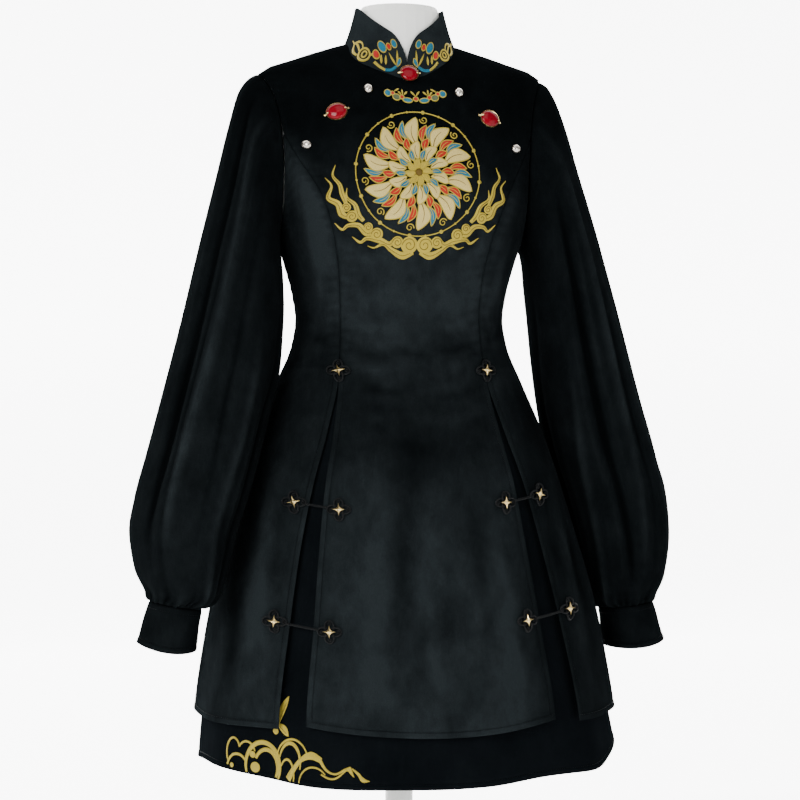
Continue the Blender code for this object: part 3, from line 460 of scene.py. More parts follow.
# Cells of sewn colour in millimetres: under the collar from the middle outwards, and on the collar
# by distance round from its front edge and height above its seam
ARC_MIDDLE = (0.003, 1.2965)
ARC_CELLS = (
    ("x", "z", "wide", "tall", "turn", "colour"),
    (0.0, 0.0, 5.6, 5.0, 0.0, "red"),
    (9.4, -1.5, 10.6, 5.4, 6.0, "teal"),
    (15.6, 2.2, 4.8, 4.6, 0.0, "red"),
    (21.6, 2.0, 8.4, 7.0, 16.0, "olive"),
    (25.6, 6.6, 4.6, 4.4, 0.0, "red"),
    (31.0, 6.8, 7.4, 7.6, 0.0, "teal"),
)
ARC_DARTS = (
    ((0.0, 3.2), (-5.2, 9.6)), ((0.0, 3.2), (5.2, 9.6)), ((13.6, 4.4), (8.6, 9.2)),
    ((14.4, 4.6), (14.6, 11.4)), ((15.6, 4.6), (19.4, 9.2)), ((24.0, 8.8), (17.6, 12.4)),
)
COLLAR_CELLS = (
    ("x", "z", "wide", "tall", "turn", "colour"),
    (18.6, 37.0, 8.4, 8.8, -28.0, "teal"),
    (25.4, 30.2, 6.4, 6.8, 0.0, "red"),
    (34.0, 24.6, 11.6, 10.6, -30.0, "teal"),
    (39.2, 12.6, 7.6, 8.0, 0.0, "red"),
)
COLLAR_DARTS = (
    ((13.8, 32.0), (12.6, 15.0)), ((25.0, 24.0), (14.6, 13.4)), ((28.2, 19.0), (27.0, 8.4)),
    ((34.0, 16.4), (31.8, 7.0)),
)
COLLAR_SCROLLS = (
    ((42.6, 10.6), (45.2, 8.4)),
    ((54.0, 9.4), (58.0, 12.4), (62.4, 11.6), (67.0, 7.4), (71.4, 7.8)),
    ((55.2, 5.8), (59.0, 7.6), (63.0, 8.6), (67.0, 7.4)),
    ((54.8, 2.4), (59.6, 2.2), (63.6, 3.6), (67.0, 7.4)),
)
COLLAR_RING = (49.6, 6.4, 5.2)
COLLAR_BANDS = (
    ("gold", ((38.4, 5.2), (32.6, 3.4), (27.0, 2.8)), 0.0028),
    ("teal", ((27.0, 2.8), (20.4, 6.0), (14.2, 12.4)), 0.0030),
)
COLLAR_TIP = ((0.0135, 0.0120), (0.0092, 0.0235), 0.0050)

# Medallion: its middle, its ring, and the rows of petals by radius from the middle
MEDALLION = (0.0, 1.2120)
RING = 0.0690
PETALS = (
    ("count", "shift", "start", "end", "wide", "round", "bend", "colour", "layer"),
    (10, 0.40, 0.0360, 0.0600, 0.0064, 0.8, 0.0044, "teal", 0),
    (10, 0.66, 0.0330, 0.0550, 0.0068, 0.8, 0.0040, "red", 0),
    (10, 0.0, 0.0290, 0.0625, 0.0150, 0.75, 0.0062, "ivory", 1),
    (10, 0.5, 0.0240, 0.0400, 0.0074, 0.8, 0.0022, "red", 2),
    (10, 0.0, 0.0140, 0.0350, 0.0112, 0.7, 0.0036, "ivory", 3),
    (10, 0.5, 0.0120, 0.0260, 0.0058, 0.8, 0.0016, "teal", 4),
    (8, 0.0, 0.0030, 0.0150, 0.0062, 0.7, 0.0020, "gold", 5),
)
VEINS = {"ivory": "amber", "red": "gold", "teal": "gold"}
VEIN_START = 0.12
VEIN_SHARE = 0.62
HEART = 0.0040
BEADS = (0.0013, 0.0022)
BEAD_TALL = 0.0010
RING_BEADS = 24
TENDRILS = 10
TENDRIL_AT = 0.0605
TENDRIL_SHIFT = 0.76
TENDRIL_SIZE = 0.0046

# Clouds round the medallion, in millimetres: round heads with their radius, and flames along lines
# with their widths from base to tip
HEADS = (
    (8.6, -78.5, 9.2), (22.0, -75.5, 6.4), (45.0, -67.0, 6.8), (54.5, -59.5, 5.0), (72.5, -48.0, 6.2),
    (79.0, -38.5, 4.8),
)
FLAMES = (
    (((4.0, -86.0), (16.0, -90.0), (28.0, -84.0), (37.0, -78.0), (47.0, -82.0), (54.0, -80.0)),
     (6.0, 8.5, 6.0, 4.0, 2.4, 0.7)),
    (((24.0, -72.0), (31.0, -78.0), (41.0, -74.0), (55.0, -72.0), (62.0, -76.0), (71.0, -70.0)),
     (4.0, 6.0, 6.5, 4.4, 3.0, 0.7)),
    (((46.0, -64.0), (56.0, -66.0), (65.0, -58.0), (76.0, -58.0), (82.0, -62.0), (90.0, -55.0)),
     (4.0, 7.0, 6.0, 4.2, 2.6, 0.7)),
    (((60.0, -53.0), (66.0, -46.0), (70.0, -36.0), (79.0, -28.0), (79.0, -18.0)), (4.0, 5.6, 4.4, 2.8, 0.7)),
    (((73.0, -50.0), (83.0, -46.0), (88.0, -35.0), (98.0, -28.0), (95.0, -15.0), (101.0, -6.0)),
     (4.0, 7.0, 6.2, 4.4, 2.6, 0.7)),
    (((79.0, -36.0), (84.0, -24.0), (86.5, -14.0), (93.0, -4.0), (90.0, 8.0)), (3.6, 5.2, 4.0, 2.4, 0.7)),
)

# Clouds of the hem, in millimetres from its middle and from the underskirt's edge: arches by their
# middle, half sizes, first and last direction, width at the ends and in the middle
HEM_MIDDLE = -46.0
HEM_SPREAD = 1.04
HEM_ARCHES = (
    ("x", "z", "half_wide", "half_tall", "start", "end", "thin", "thick"),
    (-84.0, 21.0, 9.5, 14.5, 236.0, 24.0, 2.2, 2.4),
    (-66.0, 21.0, 11.0, 13.5, 150.0, 20.0, 1.8, 2.6),
    (-77.0, 3.5, 14.0, 15.5, 172.0, 34.0, 2.6, 3.0),
    (-45.0, 12.0, 21.0, 25.0, 203.0, -24.0, 2.6, 5.0),
    (-41.0, 12.0, 14.0, 18.0, 158.0, -30.0, 3.4, 4.6),
    (-6.0, 25.0, 22.0, 22.0, 172.0, 16.0, 1.8, 2.6),
    (-10.0, 21.0, 15.0, 21.5, 168.0, -12.0, 1.8, 4.2),
    (-14.0, 6.0, 10.0, 18.5, 146.0, -10.0, 1.8, 2.8),
    (24.0, 2.0, 20.0, 19.0, 178.0, 40.0, 1.6, 2.2),
)
HEM_TAILS = (
    (((-12.0, 4.0), (-5.0, 15.0), (6.0, 27.0), (20.0, 33.0), (34.0, 29.0)), (7.5, 6.0, 5.0, 8.5, 6.0)),
    (((30.0, 32.0), (40.0, 20.0), (52.0, 16.0), (64.0, 20.5), (72.0, 22.5)), (5.0, 3.4, 2.2, 2.6, 4.5)),
    (((34.0, 14.5), (44.0, 11.0), (54.0, 12.0), (66.0, 20.0)), (1.8, 2.2, 2.2, 1.6)),
    (((70.0, 23.0), (74.0, 17.0), (77.0, 13.5)), (5.5, 4.0, 0.8)),
    (((74.0, 22.5), (82.0, 17.0), (88.0, 11.0), (97.0, 9.5)), (1.6, 3.4, 5.0, 0.8)),
)
HEM_BUDS = ((-54.0, 9.0, 5.6), (-58.0, 22.0, 3.6), (-84.0, 6.0, 2.6), (-31.0, 52.0, 3.6))
SPRIG = (((-30.0, 55.0), (-16.0, 92.0), 8.0, 2.0), ((-31.0, 61.0), (-13.5, 49.0), 8.5, 1.5))
STALK = ((-29.0, 63.0), (-31.0, 56.0), (-31.5, 52.0))

# Shells
SHELL = 0.0013
ROUND = 0.0011
BACK_ROUND = 0.25
BODY_STEP = 0.0045
EDGE_STEPS = (0.0, 0.0004, 0.0010, 0.0020, 0.0036)
HEM_STEPS = (0.0, 0.0004, 0.0010, 0.0020, 0.0044, 0.0054, 0.0062, 0.0070, 0.0080)
ARMHOLE_FINE = 70
FRONT_WIDE = 0.30
SIDE_FRONT_WIDE = 0.11
BACK_WIDE = 0.22
UNDERSKIRT_WIDE = 0.62
UNDERSKIRT_STEP = BODY_STEP * 1.3
UNDERSKIRT_GAP = 1.3
SLEEVE_LONG = 0.60
CUFF_STEP = 0.003
CUFF_WAVE = 0.0005
COLLAR_GAP = 1.1
COLLAR_WIDE = 0.19
COLLAR_STEP = 0.0022
COLLAR_CROWD = 1.25
COLLAR_TALL = 0.043
COLLAR_RISE_STEP = 0.0025
COLLAR_WAVE = 0.0004

# Creases: the trough beside a fold, and where they die away
TROUGH = 0.35
TROUGH_WIDE = 2.1
SIDE_CALM = 0.12
CALM_LEVEL = 0.86
CALM_FADE = 0.06

# Slow folds of the front: points by distance from the middle and height, width, how far the cloth
# stands out, as seen from the front
FRONT_CREASES = (
    ("points", "wide", "out"),
    (((-0.076, 1.026), (-0.044, 1.012), (-0.012, 1.016), (0.026, 1.010)), 0.007, -0.0012),
    (((0.010, 1.022), (0.044, 1.018), (0.078, 1.030)), 0.006, -0.0010),
    (((-0.078, 1.006), (-0.050, 0.996), (-0.018, 0.998)), 0.006, 0.0010),
    (((0.016, 0.994), (0.050, 1.000), (0.084, 1.008)), 0.007, 0.0011),
    (((-0.072, 1.050), (-0.040, 1.042), (-0.004, 1.044)), 0.006, 0.0009),
    (((0.018, 1.046), (0.046, 1.044), (0.074, 1.056)), 0.006, 0.0009),
    (((-0.074, 0.982), (-0.034, 0.972), (0.004, 0.976)), 0.007, -0.0011),
    (((0.020, 0.966), (0.052, 0.970), (0.084, 0.984)), 0.007, -0.0010),
    (((-0.020, 0.950), (0.030, 0.940), (0.085, 0.956)), 0.009, 0.0011),
    (((-0.086, 0.960), (-0.046, 0.944), (-0.010, 0.944)), 0.008, 0.0010),
    (((-0.050, 0.924), (-0.006, 0.912), (0.034, 0.918)), 0.009, -0.0010),
    (((0.030, 0.900), (0.012, 0.830), (0.004, 0.740), (0.010, 0.650)), 0.016, 0.0022),
    (((-0.042, 0.880), (-0.054, 0.790), (-0.058, 0.690), (-0.056, 0.620)), 0.016, 0.0016),
    (((-0.022, 0.860), (-0.026, 0.780), (-0.030, 0.690)), 0.012, -0.0016),
    (((0.056, 0.880), (0.062, 0.790), (0.070, 0.690)), 0.014, -0.0017),
    (((0.080, 0.820), (0.094, 0.740), (0.100, 0.650)), 0.011, 0.0014),
    (((-0.088, 1.170), (-0.060, 1.140), (-0.034, 1.118)), 0.009, -0.0014),
    (((0.086, 1.168), (0.062, 1.136), (0.030, 1.112)), 0.009, -0.0014),
    (((-0.128, 1.232), (-0.104, 1.216), (-0.076, 1.204)), 0.007, 0.0012),
    (((0.128, 1.232), (0.106, 1.214), (0.078, 1.200)), 0.007, 0.0012),
    (((-0.118, 1.290), (-0.070, 1.284), (-0.020, 1.292)), 0.010, -0.0010),
    (((0.118, 1.292), (0.066, 1.282), (0.024, 1.290)), 0.010, -0.0010),
    (((-0.114, 1.160), (-0.106, 1.110), (-0.098, 1.070)), 0.006, 0.0013),
    (((0.116, 1.158), (0.106, 1.112), (0.098, 1.066)), 0.006, 0.0013),
    (((-0.112, 1.040), (-0.100, 1.030), (-0.086, 1.032)), 0.006, -0.0012),
    (((0.112, 1.044), (0.102, 1.034), (0.088, 1.034)), 0.006, -0.0012),
    (((-0.150, 0.900), (-0.168, 0.800), (-0.182, 0.680)), 0.012, 0.0026),
    (((-0.168, 0.850), (-0.196, 0.740), (-0.206, 0.640)), 0.010, -0.0022),
    (((0.150, 0.900), (0.172, 0.800), (0.190, 0.680)), 0.011, 0.0024),
    (((0.176, 0.830), (0.200, 0.730), (0.212, 0.640)), 0.010, -0.0022),
)
BACK_CREASES = (
    ("points", "wide", "out"),
    (((-0.070, 1.016), (-0.030, 1.006), (0.016, 1.010), (0.070, 1.020)), 0.010, -0.0019),
    (((-0.066, 0.990), (-0.010, 0.982), (0.060, 0.996)), 0.010, 0.0016),
    (((-0.072, 1.042), (-0.020, 1.032), (0.040, 1.036), (0.074, 1.046)), 0.008, 0.0014),
    (((-0.030, 0.962), (0.020, 0.952), (0.070, 0.964)), 0.011, -0.0016),
    (((-0.100, 1.130), (-0.060, 1.104), (-0.020, 1.090)), 0.010, -0.0014),
    (((0.102, 1.128), (0.064, 1.100), (0.024, 1.086)), 0.010, -0.0014),
    (((-0.130, 1.240), (-0.100, 1.220), (-0.060, 1.210)), 0.009, 0.0013),
    (((0.130, 1.238), (0.096, 1.218), (0.056, 1.206)), 0.009, 0.0013),
    (((-0.060, 0.900), (-0.074, 0.800), (-0.082, 0.660)), 0.014, 0.0024),
    (((0.050, 0.890), (0.060, 0.790), (0.070, 0.660)), 0.014, -0.0022),
    (((-0.140, 0.880), (-0.160, 0.780), (-0.176, 0.660)), 0.012, -0.0024),
    (((0.140, 0.880), (0.162, 0.770), (0.178, 0.660)), 0.012, 0.0024),
    (((-0.100, 1.290), (-0.050, 1.284), (0.000, 1.290)), 0.011, 0.0010),
    (((0.110, 1.292), (0.060, 1.284), (0.020, 1.288)), 0.011, -0.0009),
)

# Painted sheen and shade of the velvet's pile at each height, for each kind of piece; the body's is
# darkest on the chest and shoulders, and one sleeve is darker than the other. Then the depth of fold
# that makes the painted light as light again, a painted highlight on crests, and painted shade on the
# chest's sides, on the wearer's left side front of the skirt and where the cloth turns aside from the front
PAINTED_LIGHT_BY_HEIGHT = {
    "body": ((0.60, 0.74), (0.75, 0.66), (0.85, 0.56), (0.95, 0.36), (1.02, 0.58), (1.08, 0.90),
             (1.15, 0.70), (1.20, 0.36), (1.26, 0.15), (1.37, 0.09)),
    "sleeve_r": ((0.72, 0.26), (0.90, 0.31), (1.10, 0.26), (1.25, 0.15), (1.34, 0.08)),
    "sleeve_l": ((0.72, 0.20), (0.90, 0.25), (1.10, 0.21), (1.25, 0.15), (1.34, 0.09)),
    "cuff": ((0.66, 0.26), (0.76, 0.26)),
    "collar": ((1.32, 0.80), (1.42, 1.00)),
    "plain": ((0.55, 0.50), (1.00, 0.25)),
}
CREST_HIGHLIGHT_DEPTH = 0.0026
FOLD_LIGHT_DEPTH = {"body": 0.0046, "sleeve_r": 0.0150, "sleeve_l": 0.0150, "cuff": 0.0040, "collar": 0.0040,
             "plain": 0.0060}
SIDEWAYS_LIGHT = 0.6
CHEST_SHADE = 0.30
SIDE_SHADE = 0.5
CHEST_OUT = 0.075
CHEST_LOW = 1.0
SIDE_OUT = 0.100
SHADE_FADE = 0.03
LEAST_PAINTED_LIGHT = 0.01
FOLD_LIGHT_LIMITS = (0.2, 2.6)

# Painted sheen, lighter, along drawn lines of the front's pile, and painted shade, darker, along the
# princess seams and in a band low on the front: points by distance from the middle and height,
# width and strength
SHEEN_STREAKS = (
    ("points", "wide", "strength"),
    (((-0.140, 1.244), (-0.134, 1.228), (-0.119, 1.190), (-0.108, 1.158), (-0.096, 1.112)), 0.011, 1.10),
    (((0.118, 1.210), (0.112, 1.190), (0.101, 1.150), (0.092, 1.110)), 0.007, 0.30),
    (((-0.056, 0.860), (-0.060, 0.800), (-0.070, 0.660), (-0.072, 0.610)), 0.030, 0.22),
    (((0.086, 0.760), (0.090, 0.700), (0.092, 0.620)), 0.025, 0.24),
    (((-0.050, 0.902), (0.000, 0.898), (0.050, 0.904)), 0.036, -0.18),
    (((-0.114, 1.208), (-0.102, 1.182), (-0.082, 1.100), (-0.080, 1.040), (-0.083, 0.992)), 0.005, -0.20),
    (((0.114, 1.208), (0.102, 1.182), (0.082, 1.100), (0.080, 1.040), (0.083, 0.992)), 0.005, -0.20),
    (((-0.020, 1.085), (0.020, 1.070), (0.062, 1.078)), 0.016, 0.16),
    (((-0.070, 1.060), (-0.040, 1.040), (-0.010, 1.036)), 0.012, 0.14),
)

# Dark and light colours of the cloths and metals, and how rough the metals are
# The pile's two tones are mixed by random patches and by painted sheen and shade
PILE_TONES = ((0.0005, 0.0007, 0.0008), (0.0104, 0.0134, 0.0147))
WEAVE_TONES = ((0.0011, 0.0015, 0.0019), (0.0036, 0.0047, 0.0056))
GILT = ((0.52, 0.36, 0.13), (0.92, 0.72, 0.34), 0.26)
SILVER = ((0.42, 0.38, 0.33), (0.74, 0.68, 0.60), 0.22)

# Thread pitch, and the threads' dark and light colours and how metallic they are; the dark is
# painted shade between the threads and the light a painted highlight on each thread
THREAD = 0.0006
THREADS = {
    "gold": ((0.160, 0.115, 0.015), (0.460, 0.360, 0.040), 0.35),
    "amber": ((0.035, 0.020, 0.003), (0.130, 0.080, 0.008), 0.30),
    "ivory": ((0.260, 0.190, 0.060), (0.620, 0.500, 0.170), 0.10),
    "red": ((0.150, 0.004, 0.003), (0.420, 0.012, 0.005), 0.0),
    "teal": ((0.002, 0.045, 0.075), (0.004, 0.150, 0.240), 0.0),
    "olive": ((0.024, 0.036, 0.014), (0.090, 0.120, 0.060), 0.0),
}
BLACK_THREAD = ((0.0006, 0.0007, 0.0008), (0.0048, 0.0056, 0.0062), 0.0, 0.02)

# What each piece of cloth measures laid flat, without its seam allowances: its width and length, its
# area, how it is held and what it hangs from
SHEET_COLUMNS = ("width", "length", "area", "held", "rests_on")
SHEETS = {
    "front_centre": (0.41, 0.80, 0.188, "hung", ("form",)),
    "side_front_l": (0.16, 0.69, 0.076, "hung", ("front_centre_cloth", "back_l_cloth")),
    "side_front_r": (0.16, 0.69, 0.076, "hung", ("front_centre_cloth", "back_r_cloth")),
    "back_l": (0.34, 0.80, 0.179, "hung", ("form",)),
    "back_r": (0.34, 0.80, 0.179, "hung", ("form",)),
    "underskirt_front": (0.68, 0.46, 0.248, "hung", ("form",)),
    "underskirt_back": (0.68, 0.46, 0.254, "hung", ("form",)),
    "collar_l": (0.20, 0.05, 0.0079, "laid", ("front_centre_cloth", "back_l_cloth")),
    "collar_r": (0.20, 0.05, 0.0084, "laid", ("front_centre_cloth", "back_r_cloth")),
    "sleeve_l": (0.52, 0.64, 0.229, "gathered", ("front_centre_cloth", "back_l_cloth")),
    "sleeve_r": (0.52, 0.62, 0.222, "gathered", ("front_centre_cloth", "back_r_cloth")),
    "cuff_l": (0.23, 0.05, 0.0105, "gathered", ("sleeve_l_cloth",)),
    "cuff_r": (0.22, 0.05, 0.0098, "gathered", ("sleeve_r_cloth",)),
}

# Camera
CAMERA_TURN = math.radians(10.5)
CAMERA_AWAY = 2.4
SENSOR = 36
CAMERA_HEIGHT = 0.987
VIEW_HEIGHT = 0.962
VIEW_WIDTH = 0.92
CAMERA_SHIFT_X = 1 / 800

# Floor that curves up far behind, its glow, and the lights
COVE_AWAY = 5.2
COVE_ROUND = 1.2
COVE_STEPS = 12
COVE_HIGH = 7.0
COVE_WIDE = 22.0
FLOOR_GLOW = 0.8
COVE_GLOW = 6.0
GLOW_FROM = (0.6, 2.4)
WORLD_GLOW = 0.35
LIGHTS = (
    ("name", "place", "aim", "size", "power"),
    ("key", (-1.9, -2.6, 1.9), (0.0, 0.0, 0.95), 1.6, 126.0),
    ("fill", (2.3, -2.3, 1.3), (0.0, 0.0, 0.95), 2.0, 22.0),
    ("top", (0.0, -1.4, 3.0), (0.0, 0.0, 1.1), 1.6, 14.0),
    ("glint", (1.1, -2.3, 0.5), (0.0, 0.0, 1.0), 0.15, 7.0),
    ("backdrop", (0.0, 1.0, 3.0), (0.0, 3.4, 0.8), 3.0, 160.0),
)

def named(table):
    """The rows of a table by column name; its first row names the columns."""
    return [dict(zip(table[0], row)) for row in table[1:]]


def smooth(table, name, at):
    """A column of a table as a smooth curve that never overshoots its rows."""
    rows = np.array(table[1:], float)
    x, y = rows[:, 0], rows[:, table[0].index(name)]
    gap = np.diff(x)
    slope = np.diff(y) / gap
    tangent = np.zeros(len(x))
    tangent[0], tangent[-1] = slope[0], slope[-1]
    same = slope[:-1] * slope[1:] > 0
    low, high = slope[:-1][same], slope[1:][same]
    tangent[1:-1][same] = 2 * low * high / (low + high)
    i = np.clip(np.searchsorted(x, at, side="right") - 1, 0, len(x) - 2)
    t = (at - x[i]) / gap[i]
    inside = (
        (2 * t**3 - 3 * t**2 + 1) * y[i]
        + (t**3 - 2 * t**2 + t) * gap[i] * tangent[i]
        + (3 * t**2 - 2 * t**3) * y[i + 1]
        + (t**3 - t**2) * gap[i] * tangent[i + 1]
    )
    before = y[0] + (at - x[0]) * tangent[0]
    after = y[-1] + (at - x[-1]) * tangent[-1]
    return np.where(t < 0, before, np.where(t > 1, after, inside))


def body_row(level):
    """The body's sizes at a level, by column name."""
    return {name: smooth(BODY, name, level) for name in BODY[0][1:]}


def bump(away, wide):
    """A soft bump round a turn of 360 degrees, one at its middle."""
    away = (away + 180) % 360 - 180
    return np.exp(-((away / wide) ** 2))


def flutes(angle, level):
    """How far the skirt's flutes stand out."""
    grow = np.clip((FLUTE_TOP - level) / (FLUTE_TOP - HEM), 0, FLUTE_MOST) ** FLUTE_POWER
    out = np.zeros(np.broadcast(angle, level).shape)
    for row in named(FLUTES):
        out = out + row["out"] * bump(np.degrees(angle) - row["angle"], row["wide"])
    return out * grow


def body_surface(angle, level):
    """A point of the cloth's outer face: angle from the middle front towards the wearer's left."""
    angle, level = np.broadcast_arrays(np.asarray(angle, float), np.asarray(level, float))
    row = body_row(level)
    s, c = np.sin(angle), np.cos(angle)
    depth = np.where(c >= 0, row["front"], row["back"])
    drop = np.where(c >= 0, row["front_drop"], row["back_drop"]) * c**2
    n = row["squareness"]
    reach = ((np.abs(s) / row["half_width"]) ** n + (np.abs(c) / depth) ** n) ** (-1 / n)
    reach = reach + flutes(angle, level)
    x = reach * s + smooth(SLIT, "sway", level)
    y, z = -reach * c, level - drop
    away = ((np.abs(x) - BUST_OUT) / BUST_WIDE) ** 2 + ((z - BUST_HEIGHT) / BUST_TALL) ** 2
    y = y - np.where(c > 0, BUST_RISE * np.exp(-away), 0)
    return np.stack([x, y, z], -1)


def outward(surface, u, v):
    """Unit normals of a surface of two values, facing out."""
    across = surface(u + STEP, v) - surface(u - STEP, v)
    along = surface(u, v + STEP) - surface(u, v - STEP)
    normal = np.cross(across, along)
    return normal / np.linalg.norm(normal, axis=-1, keepdims=True)


def angle_at(out, level):
    """The angle of a point of the body's front that lies so far out from the middle."""
    row = body_row(level)
    share = np.clip(np.abs(out) / row["half_width"], 0, 1)
    depth = row["front"] * (1 - share ** row["squareness"]) ** (1 / row["squareness"])
    return np.arctan2(out, depth)


def armhole_level(turn, trim=0.0):
    """The ring level of an armhole point; turn is 0 at the shoulder and 180 at the underarm."""
    return ARMHOLE_MIDDLE + (ARMHOLE_HALF - trim) * np.cos(turn)


def armhole_angle(turn, back=False, trim=0.0):
    """The body angle of an armhole point on the wearer's left."""
    width = (ARMHOLE_BACK if back else ARMHOLE_FRONT) - trim
    row = body_row(armhole_level(turn, trim))
    depth = row["back" if back else "front"]
    n = row["squareness"]
    y = width * np.abs(np.sin(turn))
    x = row["half_width"] * (1 - (y / depth) ** n) ** (1 / n)
    return np.arctan2(x, -y if back else y)


def princess_angle(level):
    """The angle of the seam between front and side front, before the slit opens."""
    join = armhole_level(JOIN_TURN)
    top = body_surface(armhole_angle(JOIN_TURN), join)[0] - PRINCESS_TIP
    return angle_at(smooth(PRINCESS + ((join, top),), "out", level), level)


def held_back(level):
    """Half of a seam's gap, as an angle."""
    return SEAM_GAP / 2 / smooth(BODY, "front", level)


def slit_angle(level):
    """Half of the slit's opening, as an angle, with the seam's gap."""
    open_by = smooth(SLIT, "open", level)
    return np.maximum(open_by, SEAM_GAP) / 2 / smooth(BODY, "front", level)


def kick(angle):
    """The share of the underskirt's kick at an angle."""
    return bump(np.degrees(angle) - FLARE_ANGLE, FLARE_WIDE)


def underskirt_surface(angle, level):
    """The underskirt's outer face, inside the outer layer and kicked out at one side."""
    face = body_surface(angle, level)
    at_front = smooth(UNDERSKIRT, "at_front", level)
    at_side = smooth(UNDERSKIRT, "at_side", level)
    inside = at_front + (at_side - at_front) * np.sin(angle) ** 2
    grow = np.clip((FLARE_TOP - level) / (FLARE_TOP - UNDERSKIRT_HEM), 0, 1)
    flare = FLARE_OUT * kick(angle) * grow
    return face + (flare - inside)[..., None] * outward(body_surface, angle, level)


def mirrored(points, side):
    """Points of a wearer's left piece, turned over for the right side."""
    return points * np.array([side, 1, 1])


def sleeve_section(table, turn, along):
    """A sleeve's plain section: turn runs from its outer side through the front."""
    names, rows = table[0], table[1:]
    placed = (("along", *names), *((i / (len(rows) - 1), *row) for i, row in enumerate(rows)))
    at = {name: smooth(placed, name, along) for name in names}
    middle_x, middle_z = (at["outer_x"] + at["inner_x"]) / 2, (at["outer_z"] + at["inner_z"]) / 2
    c, s = np.cos(turn), np.sin(turn)
    depth = np.where(s >= 0, at["front"], at["back"])
    x = middle_x + (at["outer_x"] - middle_x) * c
    z = middle_z + (at["outer_z"] - middle_z) * c
    return np.stack([x, -at["forward"] - depth * s, z], -1)


def armhole_ring(turn):
    """The sleeve's first edge, just inside the armhole's."""
    turn = np.mod(turn, 2 * math.pi)
    behind = turn > math.pi
    half = np.where(behind, 2 * math.pi - turn, turn)
    front = armhole_angle(half, False, SEAM_GAP)
    back = armhole_angle(half, True, SEAM_GAP)
    return body_surface(np.where(behind, back, front), armhole_level(half, SEAM_GAP))


def sleeve_surface(table):
    """A sleeve's smooth face as a function of turn and of the place along it."""

    def surface(turn, along):
        plain = sleeve_section(table, turn, along)
        blend = np.clip(1 - along / ARMHOLE_BLEND, 0, 1)
        blend = (blend**2 * (3 - 2 * blend))[..., None]
        start = armhole_ring(turn) - sleeve_section(table, turn, np.zeros_like(along))
        return plain + blend * start

    return surface


def found(surface, u, v, out, height):
    """Where a surface has a point, given its distance from the middle and its height."""
    for _ in range(8):
        here = surface(u, v)
        across = (surface(u + STEP, v) - here) / STEP
        along = (surface(u, v + STEP) - here) / STEP
        spare = across[..., 0] * along[..., 2] - across[..., 2] * along[..., 0]
        x, z = out - here[..., 0], height - here[..., 2]
        u = u + (x * along[..., 2] - z * along[..., 0]) / spare
        v = v + (across[..., 0] * z - across[..., 2] * x) / spare
    return u, v


def on_front(out, height, rise):
    """A point that stands so far off the cloth of the front panels."""
    start = np.asarray(height, float)
    angle, level = found(body_surface, angle_at(out, start), start, out, height)
    lifted = body_relief(angle, level) + rise
    return body_surface(angle, level) + lifted[..., None] * outward(body_surface, angle, level)


def on_throat(out, height, rise):
    """A point that stands so far off the slanting place where the collar's ends meet."""
    depth = THROAT_OUT + rise - THROAT_SLANT * (height - THROAT_HEIGHT)
    return np.stack(np.broadcast_arrays(out, -depth, height), -1)


def slit_edges(height, side):
    """Where the slit's two edges lie out from the middle, at a height on one side."""
    level = np.array([height])
    seam = princess_angle(level)
    offsets = (-slit_angle(level), slit_angle(level))
    return [float(body_surface(side * (seam + offset), level)[0, 0]) for offset in offsets]


def link(rows, columns, closed):
    """Faces of a wall: its outer face, its inner face and the strips round its edges."""
    count = rows * columns
    faces = []
    last = columns if closed else columns - 1
    for r in range(rows - 1):
        for c in range(last):
            a, b = r * columns + c, r * columns + (c + 1) % columns
            faces.append((a, b, b + columns, a + columns))
            faces.append((count + a, count + a + columns, count + b + columns, count + b))
    for c in range(last):
        a, b = c, (c + 1) % columns
        faces.append((a, count + a, count + b, b))
        top = (rows - 1) * columns
        faces.append((top + a, top + b, count + top + b, count + top + a))
    if not closed:
        for r in range(rows - 1):
            a, b = r * columns, (r + 1) * columns
            faces.append((a, b, count + b, count + a))
            a, b = a + columns - 1, b + columns - 1
            faces.append((a, count + a, count + b, b))
    return faces


def wall(name, outer, inner, finish, closed=False, flipped=False):
    """A closed wall between two grids of points of the same rows and columns."""
    rows, columns = outer.shape[:2]
    points = np.concatenate([outer.reshape(-1, 3), inner.reshape(-1, 3)])
    faces = link(rows, columns, closed)
    if flipped:
        faces = [face[::-1] for face in faces]
    return solid(name, points, faces, finish)


def solid(name, points, faces, finish, sharp=SHARP):
    """A named object from points and faces, shaded smooth up to a sharp angle."""
    mesh = bpy.data.meshes.new(name)
    mesh.from_pydata([tuple(map(float, p)) for p in points], [], [tuple(f) for f in faces])
    mesh.shade_smooth()
    mesh.set_sharp_from_angle(angle=math.radians(sharp))
    mesh.materials.append(finish)
    return shown(name, mesh)


def shown(name, data):
    """A new object in the scene."""
    made = bpy.data.objects.new(name, data)
    bpy.context.scene.collection.objects.link(made)
    return made




def camera():
    """The camera at the photograph's angle."""
    made = bpy.data.cameras.new("camera")
    made.sensor_width = SENSOR
    made.lens = SENSOR * CAMERA_AWAY / VIEW_WIDTH
    made.shift_x = CAMERA_SHIFT_X
    made.shift_y = (VIEW_HEIGHT - CAMERA_HEIGHT) / VIEW_WIDTH
    made.dof.use_dof = False
    holder = shown("camera", made)
    turn = CAMERA_TURN
    holder.location = (-math.sin(turn) * CAMERA_AWAY, -math.cos(turn) * CAMERA_AWAY, CAMERA_HEIGHT)
    holder.rotation_euler = (math.pi / 2, 0, -turn)
    bpy.context.scene.camera = holder


def spaced(length, step, steps=EDGE_STEPS):
    """Shares along a strip, close together at its two edges."""
    edge = np.array(steps) / length
    count = max(3, round(length / step))
    middle = np.linspace(edge[-1], 1 - edge[-1], count)
    return np.concatenate([edge[:-1], middle, 1 - edge[:-1][::-1]])


def rounded(away):
    """How far a turned edge draws in, at a distance from it."""
    t = np.clip(1 - away / ROUND, 0, 1)
    return SHELL / 2 * (1 - np.sqrt(1 - t**2))


